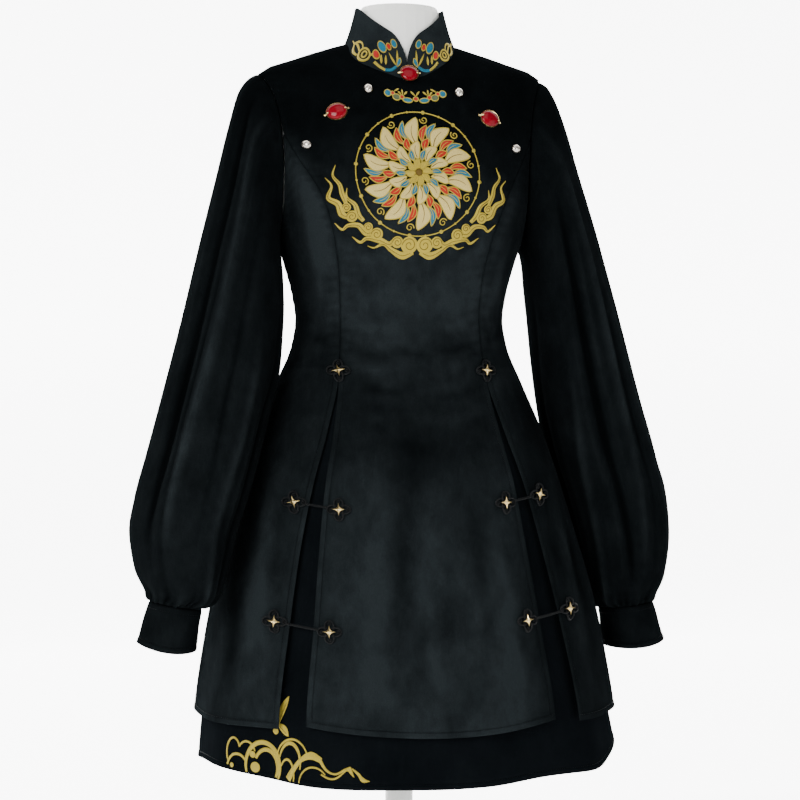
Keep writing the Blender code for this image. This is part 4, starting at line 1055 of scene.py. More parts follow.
def polyline(points, count=24):
    """A smooth line through a few points."""
    points = np.array(points, float)
    padded = np.concatenate([[2 * points[0] - points[1]], points, [2 * points[-1] - points[-2]]])
    out = []
    for i in range(len(points) - 1):
        a, b, c, d = padded[i : i + 4]
        t = np.linspace(0, 1, count // (len(points) - 1), endpoint=False)[:, None]
        out.append(0.5 * (2 * b + (c - a) * t + (2 * a - 5 * b + 4 * c - d) * t**2
                          + (3 * b - a - 3 * c + d) * t**3))
    return np.concatenate(out + [points[-1:]])


def nearest(line, u, v):
    """The distance of each place to a line, and where along the line its nearest point is."""
    best, where = np.full(u.shape, 1e9), np.zeros(u.shape)
    steps = np.linalg.norm(np.diff(line, axis=0), axis=1)
    done, total = 0.0, steps.sum()
    for a, b, step in zip(line[:-1], line[1:], steps):
        t = np.clip(((u - a[0]) * (b[0] - a[0]) + (v - a[1]) * (b[1] - a[1])) / step**2, 0, 1)
        away = np.hypot(u - a[0] - t * (b[0] - a[0]), v - a[1] - t * (b[1] - a[1]))
        closer = away < best
        best = np.where(closer, away, best)
        where = np.where(closer, (done + t * step) / total, where)
        done += step
    return best, where


def creases(table, u, v):
    """How far uneven folds along drawn lines stand out."""
    out = np.zeros(u.shape)
    for number, row in enumerate(named(table)):
        away, where = nearest(polyline(row["points"]), u, v)
        uneven = 1 + 0.28 * np.sin(9.0 * where + 1.7 * number) + 0.16 * np.sin(23.0 * where + number)
        wide = row["wide"] * (1 + 0.22 * np.sin(6.0 * where + 2.3 * number))
        taper = np.clip(np.sin(math.pi * where), 0, 1) ** 0.7
        swell = np.exp(-((away / wide) ** 2)) - TROUGH * np.exp(-((away / (TROUGH_WIDE * wide)) ** 2))
        out += row["out"] * taper * uneven * swell
    return out


def calm(out, height):
    """Falls to 0 under the things that are fastened to the front, where the cloth lies smooth."""
    share = np.ones(out.shape)
    for x, z in fastened():
        share = share * (1 - np.exp(-((out - x) ** 2 + (height - z) ** 2) / CALM_REACH**2))
    return share


def body_relief(angle, level):
    """The creases of the body's cloth."""
    place = body_surface(angle, level)
    front = np.cos(angle) > 0
    side = np.clip(np.abs(np.cos(angle)) / SIDE_CALM, 0, 1)
    ahead = creases(FRONT_CREASES, place[..., 0], place[..., 2]) * calm(place[..., 0], place[..., 2])
    behind = creases(BACK_CREASES, place[..., 0], place[..., 2])
    return np.where(front, ahead, behind) * side


def shell(name, surface, relief, u, v, edges, cloth, kind, closed=False, flipped=False, mirror=1):
    """A thin closed piece of cloth on a surface; edges gives each point's distance to an edge."""
    normal = outward(surface, u, v)
    plain = surface(u, v)
    face = plain + (relief - rounded(edges))[..., None] * normal
    back = plain + (relief - SHELL + BACK_ROUND * rounded(edges))[..., None] * normal
    made = wall(name, mirrored(face, mirror), mirrored(back, mirror), cloth, closed, flipped)
    # Painted shade where the cloth turns aside from the front, lightest where it faces front or back
    sideways_shade = SIDEWAYS_LIGHT + (1 - SIDEWAYS_LIGHT) * np.abs(normal[..., 1])
    light_values = (nap(plain, relief, kind) * sideways_shade).ravel()
    add_painted_light(made, np.concatenate([light_values, light_values]))
    return made


def edge_ways(points, closed):
    """Each grid point's way to the low, the high, the first and the last edge of its piece."""
    up = np.linalg.norm(np.diff(points, axis=0), axis=-1)
    climb = np.concatenate([np.zeros((1, points.shape[1])), np.cumsum(up, axis=0)])
    if closed:
        return climb, climb[-1] - climb
    over = np.linalg.norm(np.diff(points, axis=1), axis=-1)
    across = np.concatenate([np.zeros((points.shape[0], 1)), np.cumsum(over, axis=1)], axis=1)
    return climb, climb[-1] - climb, across, across[:, -1:] - across


def turned_edge(away):
    """How a turned and stitched edge stands out, at a distance from it."""
    double = np.clip((STITCH_IN - away) / STITCH_WIDE + 0.5, 0, 1)
    return HEM_THICK * double - STITCH_DIP * np.exp(-(((away - STITCH_IN) / STITCH_WIDE) ** 2))


def sewn_edge(away, along):
    """How the cloth dips and puckers towards a seam."""
    puckers = np.sin(2 * math.pi * along / PUCKER_LONG + PUCKER_DRIFT * np.sin(along / PUCKER_SLOW))
    pull = PUCKER_OUT * puckers * (away / PUCKER_WIDE) * np.exp(1 - away / PUCKER_WIDE)
    return pull + seam_dip(away)


def seam_dip(away):
    """How the cloth dips into a seam, at a distance from it."""
    return -SEAM_DIP * np.exp(-((away / SEAM_WIDE) ** 2))


def raised(surface, u, v, relief):
    """The points of a piece's face, each with its normal."""
    normal = outward(surface, u, v)
    return np.concatenate([surface(u, v) + relief[..., None] * normal, normal], -1)


def line_at(grid, ways, away):
    """The line of a grid that lies so far from its first row, with a point in each column."""
    columns = range(grid.shape[1])
    return np.array([[np.interp(away, ways[:, c], grid[:, c, k]) for k in range(6)] for c in columns])


def edge_lines(grid, ways, level, slits):
    """Lines of stitches along a panel's hem and up its open slits."""
    lines = [line_at(grid, ways[0], STITCH_IN)]
    over = grid.transpose(1, 0, 2)
    for slit, turned, way in ((slits[0], over, ways[2].T), (slits[1], over[::-1], ways[3].T[::-1])):
        if slit:
            edge = level[:, 0] if turned is over else level[:, -1]
            rise = (ways[0][:, 0] > STITCH_IN) & (edge < SLIT_TOP)
            lines.append(line_at(turned, way, STITCH_IN)[rise])
    return lines


def stitches(line):
    """Short raised stitches along a line of points and normals."""
    done = ways_along(line[:, :3])
    count = int(done[-1] / STITCH_PITCH)
    at = (np.arange(count) + 0.5) * done[-1] / count

    def there(where):
        return np.stack([np.interp(where, done, line[:, k]) for k in range(6)], 1)

    half = (there(at + STITCH_LONG / 2)[:, :3] - there(at - STITCH_LONG / 2)[:, :3]) / 2
    here, normal = there(at)[:, :3], there(at)[:, 3:]
    side = np.cross(normal, half)
    side = side / np.linalg.norm(side, axis=1, keepdims=True)
    ahead, aside, up = np.array(STITCH_SHAPE, float).T[:, None, :, None]
    thick = STITCH_THICK / 2
    out = aside * side[:, None] + (up + STITCH_RISE) * normal[:, None]
    points = here[:, None] + ahead * half[:, None] + thick * out
    faces = []
    for first in range(0, 10 * count, 10):
        for i in range(4):
            a, b = first + 1 + i, first + 1 + (i + 1) % 4
            faces += [(first, b, a), (a, b, b + 4, a + 4), (first + 9, a + 4, b + 4)]
    along = (at[:, None] + np.array(STITCH_SHAPE)[None, :, 0] * STITCH_LONG / 2).ravel()
    return points.reshape(-1, 3), faces, along


def node_of(piece):
    """The node that a piece of cloth stands for."""
    return piece.name[: -len("_cloth")]


def stitch(piece, lines, look, mirror=1):
    """Stitches along the edges of a piece of cloth, which go where it goes."""
    parts = []
    for line in lines:
        points, faces, along = stitches(line)
        parts.append((mirrored(points, mirror), faces, along))
    made = thread_piece("stitches_of_" + node_of(piece), parts, look)
    made.parent = piece
    return made


def fine_levels(low):
    """Levels of a body piece, close together at its hem, round the armhole and at the neckline."""
    skirt = low + (UNDERARM - low) * spaced(UNDERARM - low, BODY_STEP, HEM_STEPS)[: -len(HEM_STEPS)]
    turns = math.pi * (1 - np.arange(0, ARMHOLE_FINE + 1) / ARMHOLE_FINE)
    span = NECKLINE - SHOULDER_TIP
    shoulder = SHOULDER_TIP + span * spaced(span, BODY_STEP)[len(EDGE_STEPS) :]
    return np.concatenate([skirt, armhole_level(turns), shoulder])


def side_edge(levels, back):
    """The outer limit of a front or back on the wearer's left: side seam, armhole, shoulder."""
    turns = np.arccos(np.clip((levels - ARMHOLE_MIDDLE) / ARMHOLE_HALF, -1, 1))
    inside = (levels > UNDERARM) & (levels < SHOULDER_TIP)
    edge = np.where(inside, armhole_angle(turns, back), math.pi / 2)
    return edge + held_back(levels) * (1 if back else -1)


def body_piece(name, levels, low_edge, high_edge, hem_rise, slits, wide, looks):
    """A panel of the body between two edges, one angle for each level; slits says which are slit."""
    share = spaced(wide, BODY_STEP, HEM_STEPS)
    level = np.repeat(levels[:, None], len(share), 1)
    fade = np.clip((FIRST_ROW - levels) / (FIRST_ROW - HEM), 0, 1)[:, None]
    level = level + fade * hem_rise(share)
    angle = low_edge[:, None] + (high_edge - low_edge)[:, None] * share
    ways = edge_ways(body_surface(angle, level), False)
    relief = body_relief(angle, level)
    loose = ways[0]
    for slit, way in zip(slits, ways[2:]):
        opened = (level < SLIT_TOP) if slit else np.zeros(level.shape, bool)
        loose = np.where(opened, np.minimum(loose, way), loose)
        relief = relief + np.where(opened, 0, sewn_edge(way, ways[0]))
    relief = relief + turned_edge(loose)
    made = shell(name, body_surface, relief, angle, level, np.minimum.reduce(ways), looks[0], "body")
    stitch(made, edge_lines(raised(body_surface, angle, level, relief), ways, level, slits), looks[1])
    return made


def make_fronts(looks):
    """The front from shoulders to hem, and the side fronts that meet it at the princess seams."""
    levels = fine_levels(HEM)
    side = side_edge(levels, back=False)
    join = armhole_level(JOIN_TURN)
    below = levels <= join + SLACK
    seam = princess_angle(np.minimum(levels, join))
    inner = np.where(below, seam - slit_angle(levels), side)
    made = [
        body_piece("front_centre_cloth", levels, -inner, inner,
                   lambda share: APRON_RISE * (2 * share - 1) ** 2, (True, True), FRONT_WIDE, looks)
    ]
    near, far = (seam + slit_angle(levels))[below], side[below]
    for name, low, high, slits in (
        ("side_front_l_cloth", near, far, (True, False)),
        ("side_front_r_cloth", -far, -near, (False, True)),
    ):
        made.append(body_piece(name, levels[below], low, high, side_rise, slits, SIDE_FRONT_WIDE, looks))
    return made


def side_rise(share):
    """The hem's rise away from the apron."""
    return np.full(len(share), SIDE_HEM_RISE)


def make_backs(looks):
    """The backs, which meet at a seam down the middle."""
    levels = fine_levels(HEM)
    side = side_edge(levels, back=True)
    middle = math.pi - held_back(levels)
    sewn = (False, False)
    return [
        body_piece("back_l_cloth", levels, side, middle, side_rise, sewn, BACK_WIDE, looks),
        body_piece("back_r_cloth", levels, -middle, -side, side_rise, sewn, BACK_WIDE, looks),
    ]


def underskirt_lift(angle):
    """How far the underskirt's hem rises."""
    angle = np.degrees(angle)
    return sum(row["up"] * bump(angle - row["angle"], row["wide"]) for row in named(RISES))


def make_underskirts(looks):
    """The plain skirt that shows in the slits and below the outer layer."""
    made = []
    tall = UNDERSKIRT_TOP - UNDERSKIRT_HEM
    levels = UNDERSKIRT_HEM + tall * spaced(tall, BODY_STEP, HEM_STEPS)
    gap = float(held_back(SLIT_TOP)) * UNDERSKIRT_GAP
    turns = spaced(UNDERSKIRT_WIDE, UNDERSKIRT_STEP) * (math.pi - 2 * gap) + gap
    fade = np.clip((UNDERSKIRT_ROW - levels) / (UNDERSKIRT_ROW - UNDERSKIRT_HEM), 0, 1)[:, None]
    for name, start in (("underskirt_front_cloth", -math.pi / 2), ("underskirt_back_cloth", math.pi / 2)):
        angle, level = np.meshgrid(start + turns, levels)
        level = level + fade * underskirt_lift(angle)
        ways = edge_ways(underskirt_surface(angle, level), False)
        near_top = np.clip((level - CALM_LEVEL) / CALM_FADE, 0, 1)
        relief = body_relief(angle, level) * near_top + turned_edge(ways[0])
        edges = np.minimum.reduce(ways)
        made.append(shell(name, underskirt_surface, relief, angle, level, edges, looks[0], "plain"))
        grid = raised(underskirt_surface, angle, level, relief)
        stitch(made[-1], edge_lines(grid, ways, level, (False, False)), looks[1])
        allowance(made[-1], underskirt_surface, angle.T[[0, -1]], level.T[[0, -1]], looks[0])
    return made


def sleeve_folds(folds, turn, along):
    """How far a sleeve's long folds stand out."""
    out = np.zeros(np.broadcast(turn, along).shape)
    for row in named(folds):
        share = np.clip((along - row["start"]) / (row["end"] - row["start"]), 0, 1)
        sway = 2.5 * np.sin(7 * share + row["angle_low"])
        middle = row["angle_top"] + (row["angle_low"] - row["angle_top"]) * share + sway
        grow = np.sin(math.pi * share) ** 0.7 * (1 + 0.25 * np.sin(11 * share + row["angle_top"]))
        away = np.degrees(turn) - middle
        crest = FOLD_BROAD * bump(away, row["wide"]) + FOLD_CREST * bump(away, CREST_SHARE * row["wide"])
        out = out + row["out"] * grow * crest
    return out


def sleeve_gathers(turn, along):
    """The gathers above a cuff, large ones with small ones between, and the ease at the sleeve's head."""
    low = np.clip((along - GATHER_START) / (1 - GATHER_START), 0, 1) ** 1.5
    low = low * np.clip((1 - along) / GATHER_END, 0, 1)
    large = GATHER_OUT * low * np.cos(GATHERS * turn + GATHER_TURN)
    reach = FINE_GATHER_START + 0.03 * np.sin(5 * turn)
    grow = np.clip((along - reach) / (1 - reach), 0, 1) ** 1.3
    grow = grow * np.clip((1 - along) / FINE_GATHER_END, 0, 1) ** 0.5
    small = FINE_GATHER_OUT * grow * np.cos(FINE_GATHERS * turn + 1.4 * np.sin(3 * turn))
    head = np.clip(1 - along / HEAD_END, 0, 1) * np.clip(along / HEAD_START, 0, 1)
    ease = HEAD_OUT * head * np.clip(np.cos(turn), 0, 1) * np.cos(HEAD_WAVES * turn + np.sin(4 * turn))
    return large + small + ease


def allowance(piece, surface, u, v, cloth, side=1, closed=False):
    """Seam allowances folded inside the seams of a piece, along rows of places on its surface."""
    inside = surface(u, v) - ALLOWANCE_IN * outward(surface, u, v)
    across = ASIDE if closed else FORWARD
    parts = [tube(mirrored(line, side), ALLOWANCE_ROUND, 8, closed, across) for line in inside]
    made = thread_piece("allowance_of_" + node_of(piece), parts, cloth)
    # Painted shade inside the seam: the allowance's pile light is near black
    add_painted_light(made, np.full(len(made.data.vertices), ALLOWANCE_SHADE))
    made.parent = piece


def make_sleeves(cloth):
    """Bishop sleeves, set in at the armhole and gathered onto their cuffs."""
    turn = np.arange(SLEEVE_ROUND) * 2 * math.pi / SLEEVE_ROUND
    along = spaced(SLEEVE_LONG, BODY_STEP)
    turn, along = np.meshgrid(turn, along)
    made = []
    for kind, table, folds, fine, side in (
        ("sleeve_l", SLEEVE_L, FOLDS_L, FINE_FOLDS_L, 1),
        ("sleeve_r", SLEEVE_R, FOLDS_R, FINE_FOLDS_R, -1),
    ):
        surface = sleeve_surface(table)
        edges = np.minimum(*edge_ways(surface(turn, along), True))
        relief = sleeve_folds(folds, turn, along) + sleeve_folds(fine, turn, along)
        relief = relief + sleeve_gathers(turn, along) + seam_dip(edges)
        name = kind + "_cloth"
        made.append(shell(name, surface, relief, turn, along, edges, cloth, kind, True, side < 0, side))
        allowance(made[-1], surface, turn[:1], along[:1], cloth, side, True)
    return made


def cuff_surface(table):
    """A cuff's face as a function of turn and of the share down it."""
    row = named(table)[-1]
    half_x, half_z = (row["outer_x"] - row["inner_x"]) / 2, (row["outer_z"] - row["inner_z"]) / 2

    def surface(turn, share):
        size = 1 + (CUFF_FLARE - 1) * share
        drop = CUFF_HEIGHT * share + SEAM_GAP
        x = row["inner_x"] + half_x + CUFF_LEAN * share + size * half_x * np.cos(turn)
        y = -row["forward"] - size * row["front"] * np.sin(turn)
        z = row["inner_z"] + half_z * (1 + np.cos(turn)) - drop
        return np.stack([x, y, z - CUFF_FRONT_DROP * share * np.sin(turn) ** 2], -1)

    return surface


def make_cuffs(looks):
    """Deep plain cuffs."""
    turn = np.arange(CUFF_ROUND) * 2 * math.pi / CUFF_ROUND
    share = spaced(CUFF_HEIGHT, CUFF_STEP, HEM_STEPS)
    turn, share = np.meshgrid(turn, share)
    made = []
    for name, table, side in (("cuff_l_cloth", SLEEVE_L, 1), ("cuff_r_cloth", SLEEVE_R, -1)):
        surface = cuff_surface(table)
        ways = edge_ways(surface(turn, share), True)
        edges = np.minimum(*ways)
        relief = CUFF_WAVE * np.sin(3 * turn + 5 * share) * np.sin(math.pi * share)
        relief = relief + turned_edge(ways[1]) + seam_dip(ways[0])
        made.append(shell(name, surface, relief, turn, share, edges, looks[0], "cuff", True, side > 0, side))
        grid = raised(surface, turn, share, relief)
        lines = [line_at(grid, ways[0], STITCH_IN), line_at(grid[::-1], ways[1][::-1], STITCH_IN)]
        stitch(made[-1], [np.concatenate([line, line[:1]]) for line in lines], looks[1], side)
    return made


def collar_height(angle):
    """The collar's height above the neckline: a low middle front between rounded corners."""
    share = np.clip(1 - np.abs(angle) * COLLAR_RADIUS / COLLAR_CORNER, 0, 1)
    aside = np.clip((SWELL_END - np.abs(angle)) / (SWELL_END - SWELL_FULL), 0, 1)
    tall = COLLAR_TOP - NECKLINE + COLLAR_SWELL * aside**2 * (3 - 2 * aside)
    return COLLAR_LOW + (tall - COLLAR_LOW) * np.sqrt(1 - share**2)


def collar_surface(drop):
    """The outer face of a half of the collar, whose low edge rolls down onto the shoulder by a drop."""

    def surface(angle, share):
        rise = collar_height(angle) * share
        inward = np.stack([-np.sin(angle), np.cos(angle), np.zeros_like(angle)], -1)
        climb = np.clip(rise / (COLLAR_TOP - NECKLINE), 0, 1)
        lean = COLLAR_LEAN * ((climb + LEAN_EASE) ** LEAN_POWER - LEAN_EASE**LEAN_POWER)
        up = np.stack([np.zeros_like(rise), np.zeros_like(rise), rise - COLLAR_TUCK * (1 - share)], -1)
        roll = bump(np.degrees(angle) - ROLL_ANGLE, ROLL_WIDE) * np.clip(1 - share / ROLL_END, 0, 1) ** 2
        level = NECKLINE - drop * roll
        rolled = (ROLL_OUT * roll)[..., None] * outward(body_surface, angle, level)
        return body_surface(angle, level) + rolled + up + lean[..., None] * inward

    return surface


def make_collars(cloth):
    """The stand collar's halves."""
    gap = float(held_back(NECKLINE)) * COLLAR_GAP
    turns = gap + (math.pi - 2 * gap) * spaced(COLLAR_WIDE, COLLAR_STEP) ** COLLAR_CROWD
    angle, tall = np.meshgrid(turns, spaced(COLLAR_TALL, COLLAR_RISE_STEP))
    relief = COLLAR_WAVE * np.sin(7 * angle) * np.sin(math.pi * tall)
    made = []
    for name, side in (("collar_l_cloth", 1), ("collar_r_cloth", -1)):
        surface = collar_surface(COLLAR_DROPS[side])
        edges = np.minimum.reduce(edge_ways(surface(angle, tall), False))
        made.append(shell(name, surface, relief, angle, tall, edges, cloth, "collar", False, side < 0, side))
    return made


def joined(parts):
    """Parts of points, faces and places along their threads, taken together."""
    points, faces, along, done = [], [], [], 0
    for part_points, part_faces, part_along in parts:
        points.append(part_points)
        along.append(part_along)
        faces += [tuple(i + done for i in face) for face in facing_out(part_points, part_faces)]
        done += len(part_points)
    return np.concatenate(points), faces, np.concatenate(along)


def facing_out(points, faces):
    """The faces of a closed part, turned over if they face inwards."""
    fans = np.array([(face[0], face[i], face[i + 1]) for face in faces for i in range(1, len(face) - 1)])
    a, b, c = (points[fans[:, i]] for i in range(3))
    volume = np.einsum("ij,ij->", a - points.mean(0), np.cross(b - a, c - a))
    return [face[::-1] for face in faces] if volume < 0 else faces


def thread_piece(name, parts, finish, sharp=SHARP):
    """One object from parts, with the place along the thread at each point."""
    points, faces, along = joined(parts)
    made = solid(name, points, faces, finish, sharp)
    carried = made.data.attributes.new("along", "FLOAT", "POINT")
    carried.data.foreach_set("value", along.astype(np.float32))
    return made


def lapped(rings, count, closed=False):
    """Faces between rings of points, with a flat end at each side where they aren't closed."""
    faces = []
    for r in range(rings if closed else rings - 1):
        over = ((r + 1) % rings) * count
        for c in range(count):
            d = (c + 1) % count
            faces.append((r * count + c, r * count + d, over + d, over + c))
    if not closed:
        faces.append(tuple(range(count))[::-1])
        faces.append(tuple(range((rings - 1) * count, rings * count)))
    return faces


def ways_along(line):
    """The distance of each point of a line from its start."""
    return np.concatenate([[0], np.cumsum(np.linalg.norm(np.diff(line, axis=0), axis=1))])


def drawn(points):
    """A smooth line through a few points, given in millimetres."""
    line = polyline(np.array(points) * MM, 24 * (len(points) - 1))
    count = max(4, int(ways_along(line)[-1] / LINE_STEP))
    done = ways_along(line)
    at = np.linspace(0, done[-1], count)
    return np.stack([np.interp(at, done, line[:, axis]) for axis in (0, 1)], 1)


def strand(place, line, wide, tall=LINE_TALL, base=0.0, closed=False):
    """A sewn line: a low rounded ribbon along a line of a plane, put on the cloth by place."""
    line = np.asarray(line)
    if closed:
        step = np.roll(line, -1, 0) - np.roll(line, 1, 0)
    else:
        step = np.gradient(line, axis=0)
    step = step / np.linalg.norm(step, axis=1, keepdims=True)
    turn = np.linspace(0, math.pi, 5)
    reach = np.broadcast_to(np.asarray(wide, float) / 2, len(line))[:, None] * np.cos(turn)
    x = line[:, :1] - step[:, 1:] * reach
    z = line[:, 1:] + step[:, :1] * reach
    rise = SEWN + np.broadcast_to(base, len(line))[:, None] + tall * np.sin(turn)
    points = place(x, z, rise).reshape(-1, 3)
    return points, lapped(len(line), len(turn), closed), np.repeat(ways_along(line), len(turn))


def patch(place, outline, tall=FILL_TALL, base=0.0, axis=(1.0, 0.0)):
    """A filled sewn shape, crowned from its outline to its middle."""
    outline = np.asarray(outline)
    middle, count = outline.mean(0), len(outline)
    grids = [middle + (outline - middle) * share for share, _ in CROWN]
    flat = np.concatenate([*grids, middle[None], middle[None]])
    up = np.concatenate([np.full(count, tall * rise) for _, rise in CROWN] + [[0.0, tall]])
    faces = lapped(len(grids), count)[:-2]
    low, top, last = len(flat) - 2, len(flat) - 1, (len(grids) - 1) * count
    for c in range(count):
        d = (c + 1) % count
        faces += [(low, d, c), (top, last + c, last + d)]
    return place(flat[:, 0], flat[:, 1], SEWN + base + up), faces, flat @ np.array(axis)


def ellipse(x, z, half_wide, half_tall, turn=0.0, count=28):
    """The outline of an oval in a plane."""
    at = np.arange(count) * 2 * math.pi / count
    c, s = math.cos(math.radians(turn)), math.sin(math.radians(turn))
    a, b = half_wide * np.cos(at), half_tall * np.sin(at)
    return np.stack([x + a * c - b * s, z + a * s + b * c], 1)


def leaf(start, end, wide, blunt=0.8, count=12, bend=0.0):
    """The outline of a leaf or petal from its base to its tip; a smaller number is blunter."""
    start, end = np.array(start), np.array(end)
    axis = end - start
    side = np.array([-axis[1], axis[0]]) / np.linalg.norm(axis)
    share = np.linspace(0, 1, count)
    half = wide / 2 * np.sin(math.pi * share**1.25) ** blunt
    middle = start + axis * share[:, None] + side * bend * np.sin(math.pi * share)[:, None]
    right = middle - side * half[:, None]
    left = middle + side * half[:, None]
    return np.concatenate([right, left[-2:0:-1]])


def outlined(stock, place, outline, colour, base=0.0, wide=OUTLINE_WIDE):
    """A filled shape with a gold line round it."""
    outline = np.asarray(outline)
    axis = outline[len(outline) // 2] - outline[0]
    axis = axis / np.linalg.norm(axis)
    stock.setdefault(colour, []).append(patch(place, outline, base=base, axis=axis))
    stock.setdefault("gold", []).append(strand(place, outline, wide, base=base, closed=True))


def cells(stock, place, table):
    """Oval cells of colour with gold outlines."""
    for row in named(table):
        wide, tall = row["wide"] * MM / 2, row["tall"] * MM / 2
        edge = ellipse(row["x"] * MM, row["z"] * MM, wide, tall, row["turn"])
        outlined(stock, place, edge, row["colour"])


def darts(stock, place, table, wide=0.0021):
    """Short tapered gold spikes."""
    for start, end in table:
        edge = leaf(np.array(start) * MM, np.array(end) * MM, wide, 0.7)
        stock.setdefault("gold", []).append(patch(place, edge))


def turned_over(place):
    """The same place on the other side of the middle."""
    return lambda x, z, rise: place(-x, z, rise)


def taper(count, *sizes):
    """Widths that pass evenly through a few sizes."""
    return np.interp(np.linspace(0, 1, count), np.linspace(0, 1, len(sizes)), sizes)


def head(stock, place, x, z, size):
    """A round cloud with a wound line on it."""
    middle = np.array([x, z]) * MM
    stock["gold"].append(patch(place, ellipse(*middle, size * MM, size * MM), base=LAYER))
    turn = np.linspace(0.0, 1.5 * 2 * math.pi, 40)
    wind = size * MM * np.linspace(0.84, 0.16, 40)
    line = middle + wind[:, None] * np.stack([np.cos(turn), np.sin(turn)], 1)
    stock["amber"].append(strand(place, line, FINE_WIDE, FINE_TALL, LAYER + FILL_TALL))


def flame(stock, place, points, sizes):
    """A flame that sweeps along a line, with a fine line down its middle."""
    line = drawn(points)
    stock["gold"].append(strand(place, line, taper(len(line), *sizes) * MM))
    inner = line[4 : -len(line) // 4]
    stock["amber"].append(strand(place, inner, VEIN_WIDE, FINE_TALL, 0.9 * LINE_TALL))


def sew(area, stock, looks):
    """The threads of an area, one object for each colour."""
    return [thread_piece(f"{area}_{colour}", parts, looks[colour]) for colour, parts in stock.items()]


def vein(row, way):
    """The line down the middle of a petal."""
    side = np.array([-way[1], way[0]])
    share = np.linspace(VEIN_START, VEIN_START + VEIN_SHARE, 16)[:, None]
    reach = row["start"] + (row["end"] - row["start"]) * share
    return reach * way + side * row["bend"] * np.sin(math.pi * share)


def tendril(turn):
    """A small wound line near the medallion's ring."""
    share = np.linspace(0, 1, 40)
    spin = turn + math.pi / 2 + 2.6 * math.pi * share
    reach = TENDRIL_SIZE * (1 - 0.8 * share)
    middle = TENDRIL_AT * np.array([math.cos(turn), math.sin(turn)])
    return middle + np.stack([reach * np.cos(spin), reach * np.sin(spin)], 1)


def make_medallion(looks):
    """A whorl of slender petals in a beaded ring, over a wreath of clouds."""
    stock = {"gold": []}

    def place(x, z, rise):
        return on_front(MEDALLION[0] + x, MEDALLION[1] + z, rise)

    stock["gold"].append(strand(place, ellipse(0, 0, RING, RING, count=300), OUTLINE_WIDE, closed=True))
    for number in range(RING_BEADS):
        turn = (number + 0.5) * 2 * math.pi / RING_BEADS
        size = BEADS[number % 2]
        bead = ellipse(RING * math.cos(turn), RING * math.sin(turn), size, size, count=16)
        stock["gold"].append(patch(place, bead, BEAD_TALL))
    for row in named(PETALS):
        for number in range(row["count"]):
            turn = (number + row["shift"]) * 2 * math.pi / row["count"] + math.pi / 2
            way = np.array([math.cos(turn), math.sin(turn)])
            base = row["layer"] * LAYER
            edge = leaf(row["start"] * way, row["end"] * way, row["wide"], row["round"], 18, row["bend"])
            outlined(stock, place, edge, row["colour"], base)
            if row["colour"] in VEINS:
                rise = base + 0.75 * FILL_TALL
                line = strand(place, vein(row, way), taper(16, 0.0012, 0.0006), FINE_TALL, rise)
                stock.setdefault(VEINS[row["colour"]], []).append(line)
    for number in range(TENDRILS):
        turn = (number + TENDRIL_SHIFT) * 2 * math.pi / TENDRILS + math.pi / 2
        stock["gold"].append(strand(place, tendril(turn), taper(40, 0.0014, 0.0010), 0.0006, LAYER))
    heart = ellipse(0, 0, HEART, HEART, count=20)
    stock["amber"].append(patch(place, heart, BEAD_TALL, 6 * LAYER))
    for side in (place, turned_over(place)):
        for points, sizes in FLAMES:
            flame(stock, side, points, sizes)
        for x, z, size in HEADS:
            head(stock, side, x, z, size)
    return sew("medallion", stock, looks)


def make_arc(looks):
    """A small arched ornament under the collar."""
    stock = {}

    def place(x, z, rise):
        return on_front(ARC_MIDDLE[0] + x, ARC_MIDDLE[1] + z, rise)

    for side in (place, turned_over(place)):
        middle = 0 if side is place else 1
        cells(stock, side, ARC_CELLS[:1] + ARC_CELLS[1 + middle:])
        darts(stock, side, ARC_DARTS[2 * middle:])
    return sew("collar_arc", stock, looks)


def on_collar(side):
    """Places on a half of the collar, by the way round from its front edge and the height."""

    surface = collar_surface(COLLAR_DROPS[side])

    def place(x, z, rise):
        angle = x / COLLAR_RADIUS
        share = z / collar_height(angle)
        points = surface(angle, share)
        points = points + np.asarray(rise)[..., None] * outward(surface, angle, share)
        return mirrored(points, side)

    return place


def make_collar_work(looks):
    """The same ornament on each half of the collar."""
    made = []
    for tag, side in (("l", 1), ("r", -1)):
        stock, place = {}, on_collar(side)
        cells(stock, place, COLLAR_CELLS)
        darts(stock, place, COLLAR_DARTS, 0.0030)
        for colour, line, wide in COLLAR_BANDS:
            stock[colour].append(strand(place, drawn(line), wide))
        outlined(stock, place, leaf(*COLLAR_TIP), "teal")
        x, z, size = (value * MM for value in COLLAR_RING)
        stock["gold"].append(strand(place, ellipse(x, z, size, size), 0.0019, closed=True))
        stock["gold"].append(strand(place, ellipse(x, z, 0.4 * size, 0.5 * size), 0.0015, closed=True))
        for line in COLLAR_SCROLLS:
            path = drawn(line)
            stock["gold"].append(strand(place, path, taper(len(path), 0.0014, 0.0024, 0.0014)))
        made += sew("collar_work_" + tag, stock, looks)
    return made


def on_hem(x, z, rise):
    """Places on the underskirt, by the way round from the ornament's middle and the height."""
    turn = HEM_SPREAD * x / smooth(BODY, "half_width", UNDERSKIRT_HEM)
    angle = math.radians(HEM_MIDDLE) + turn
    level = UNDERSKIRT_HEM + underskirt_lift(angle) + z
    lift = np.asarray(rise)[..., None] * outward(underskirt_surface, angle, level)
    return underskirt_surface(angle, level) + lift


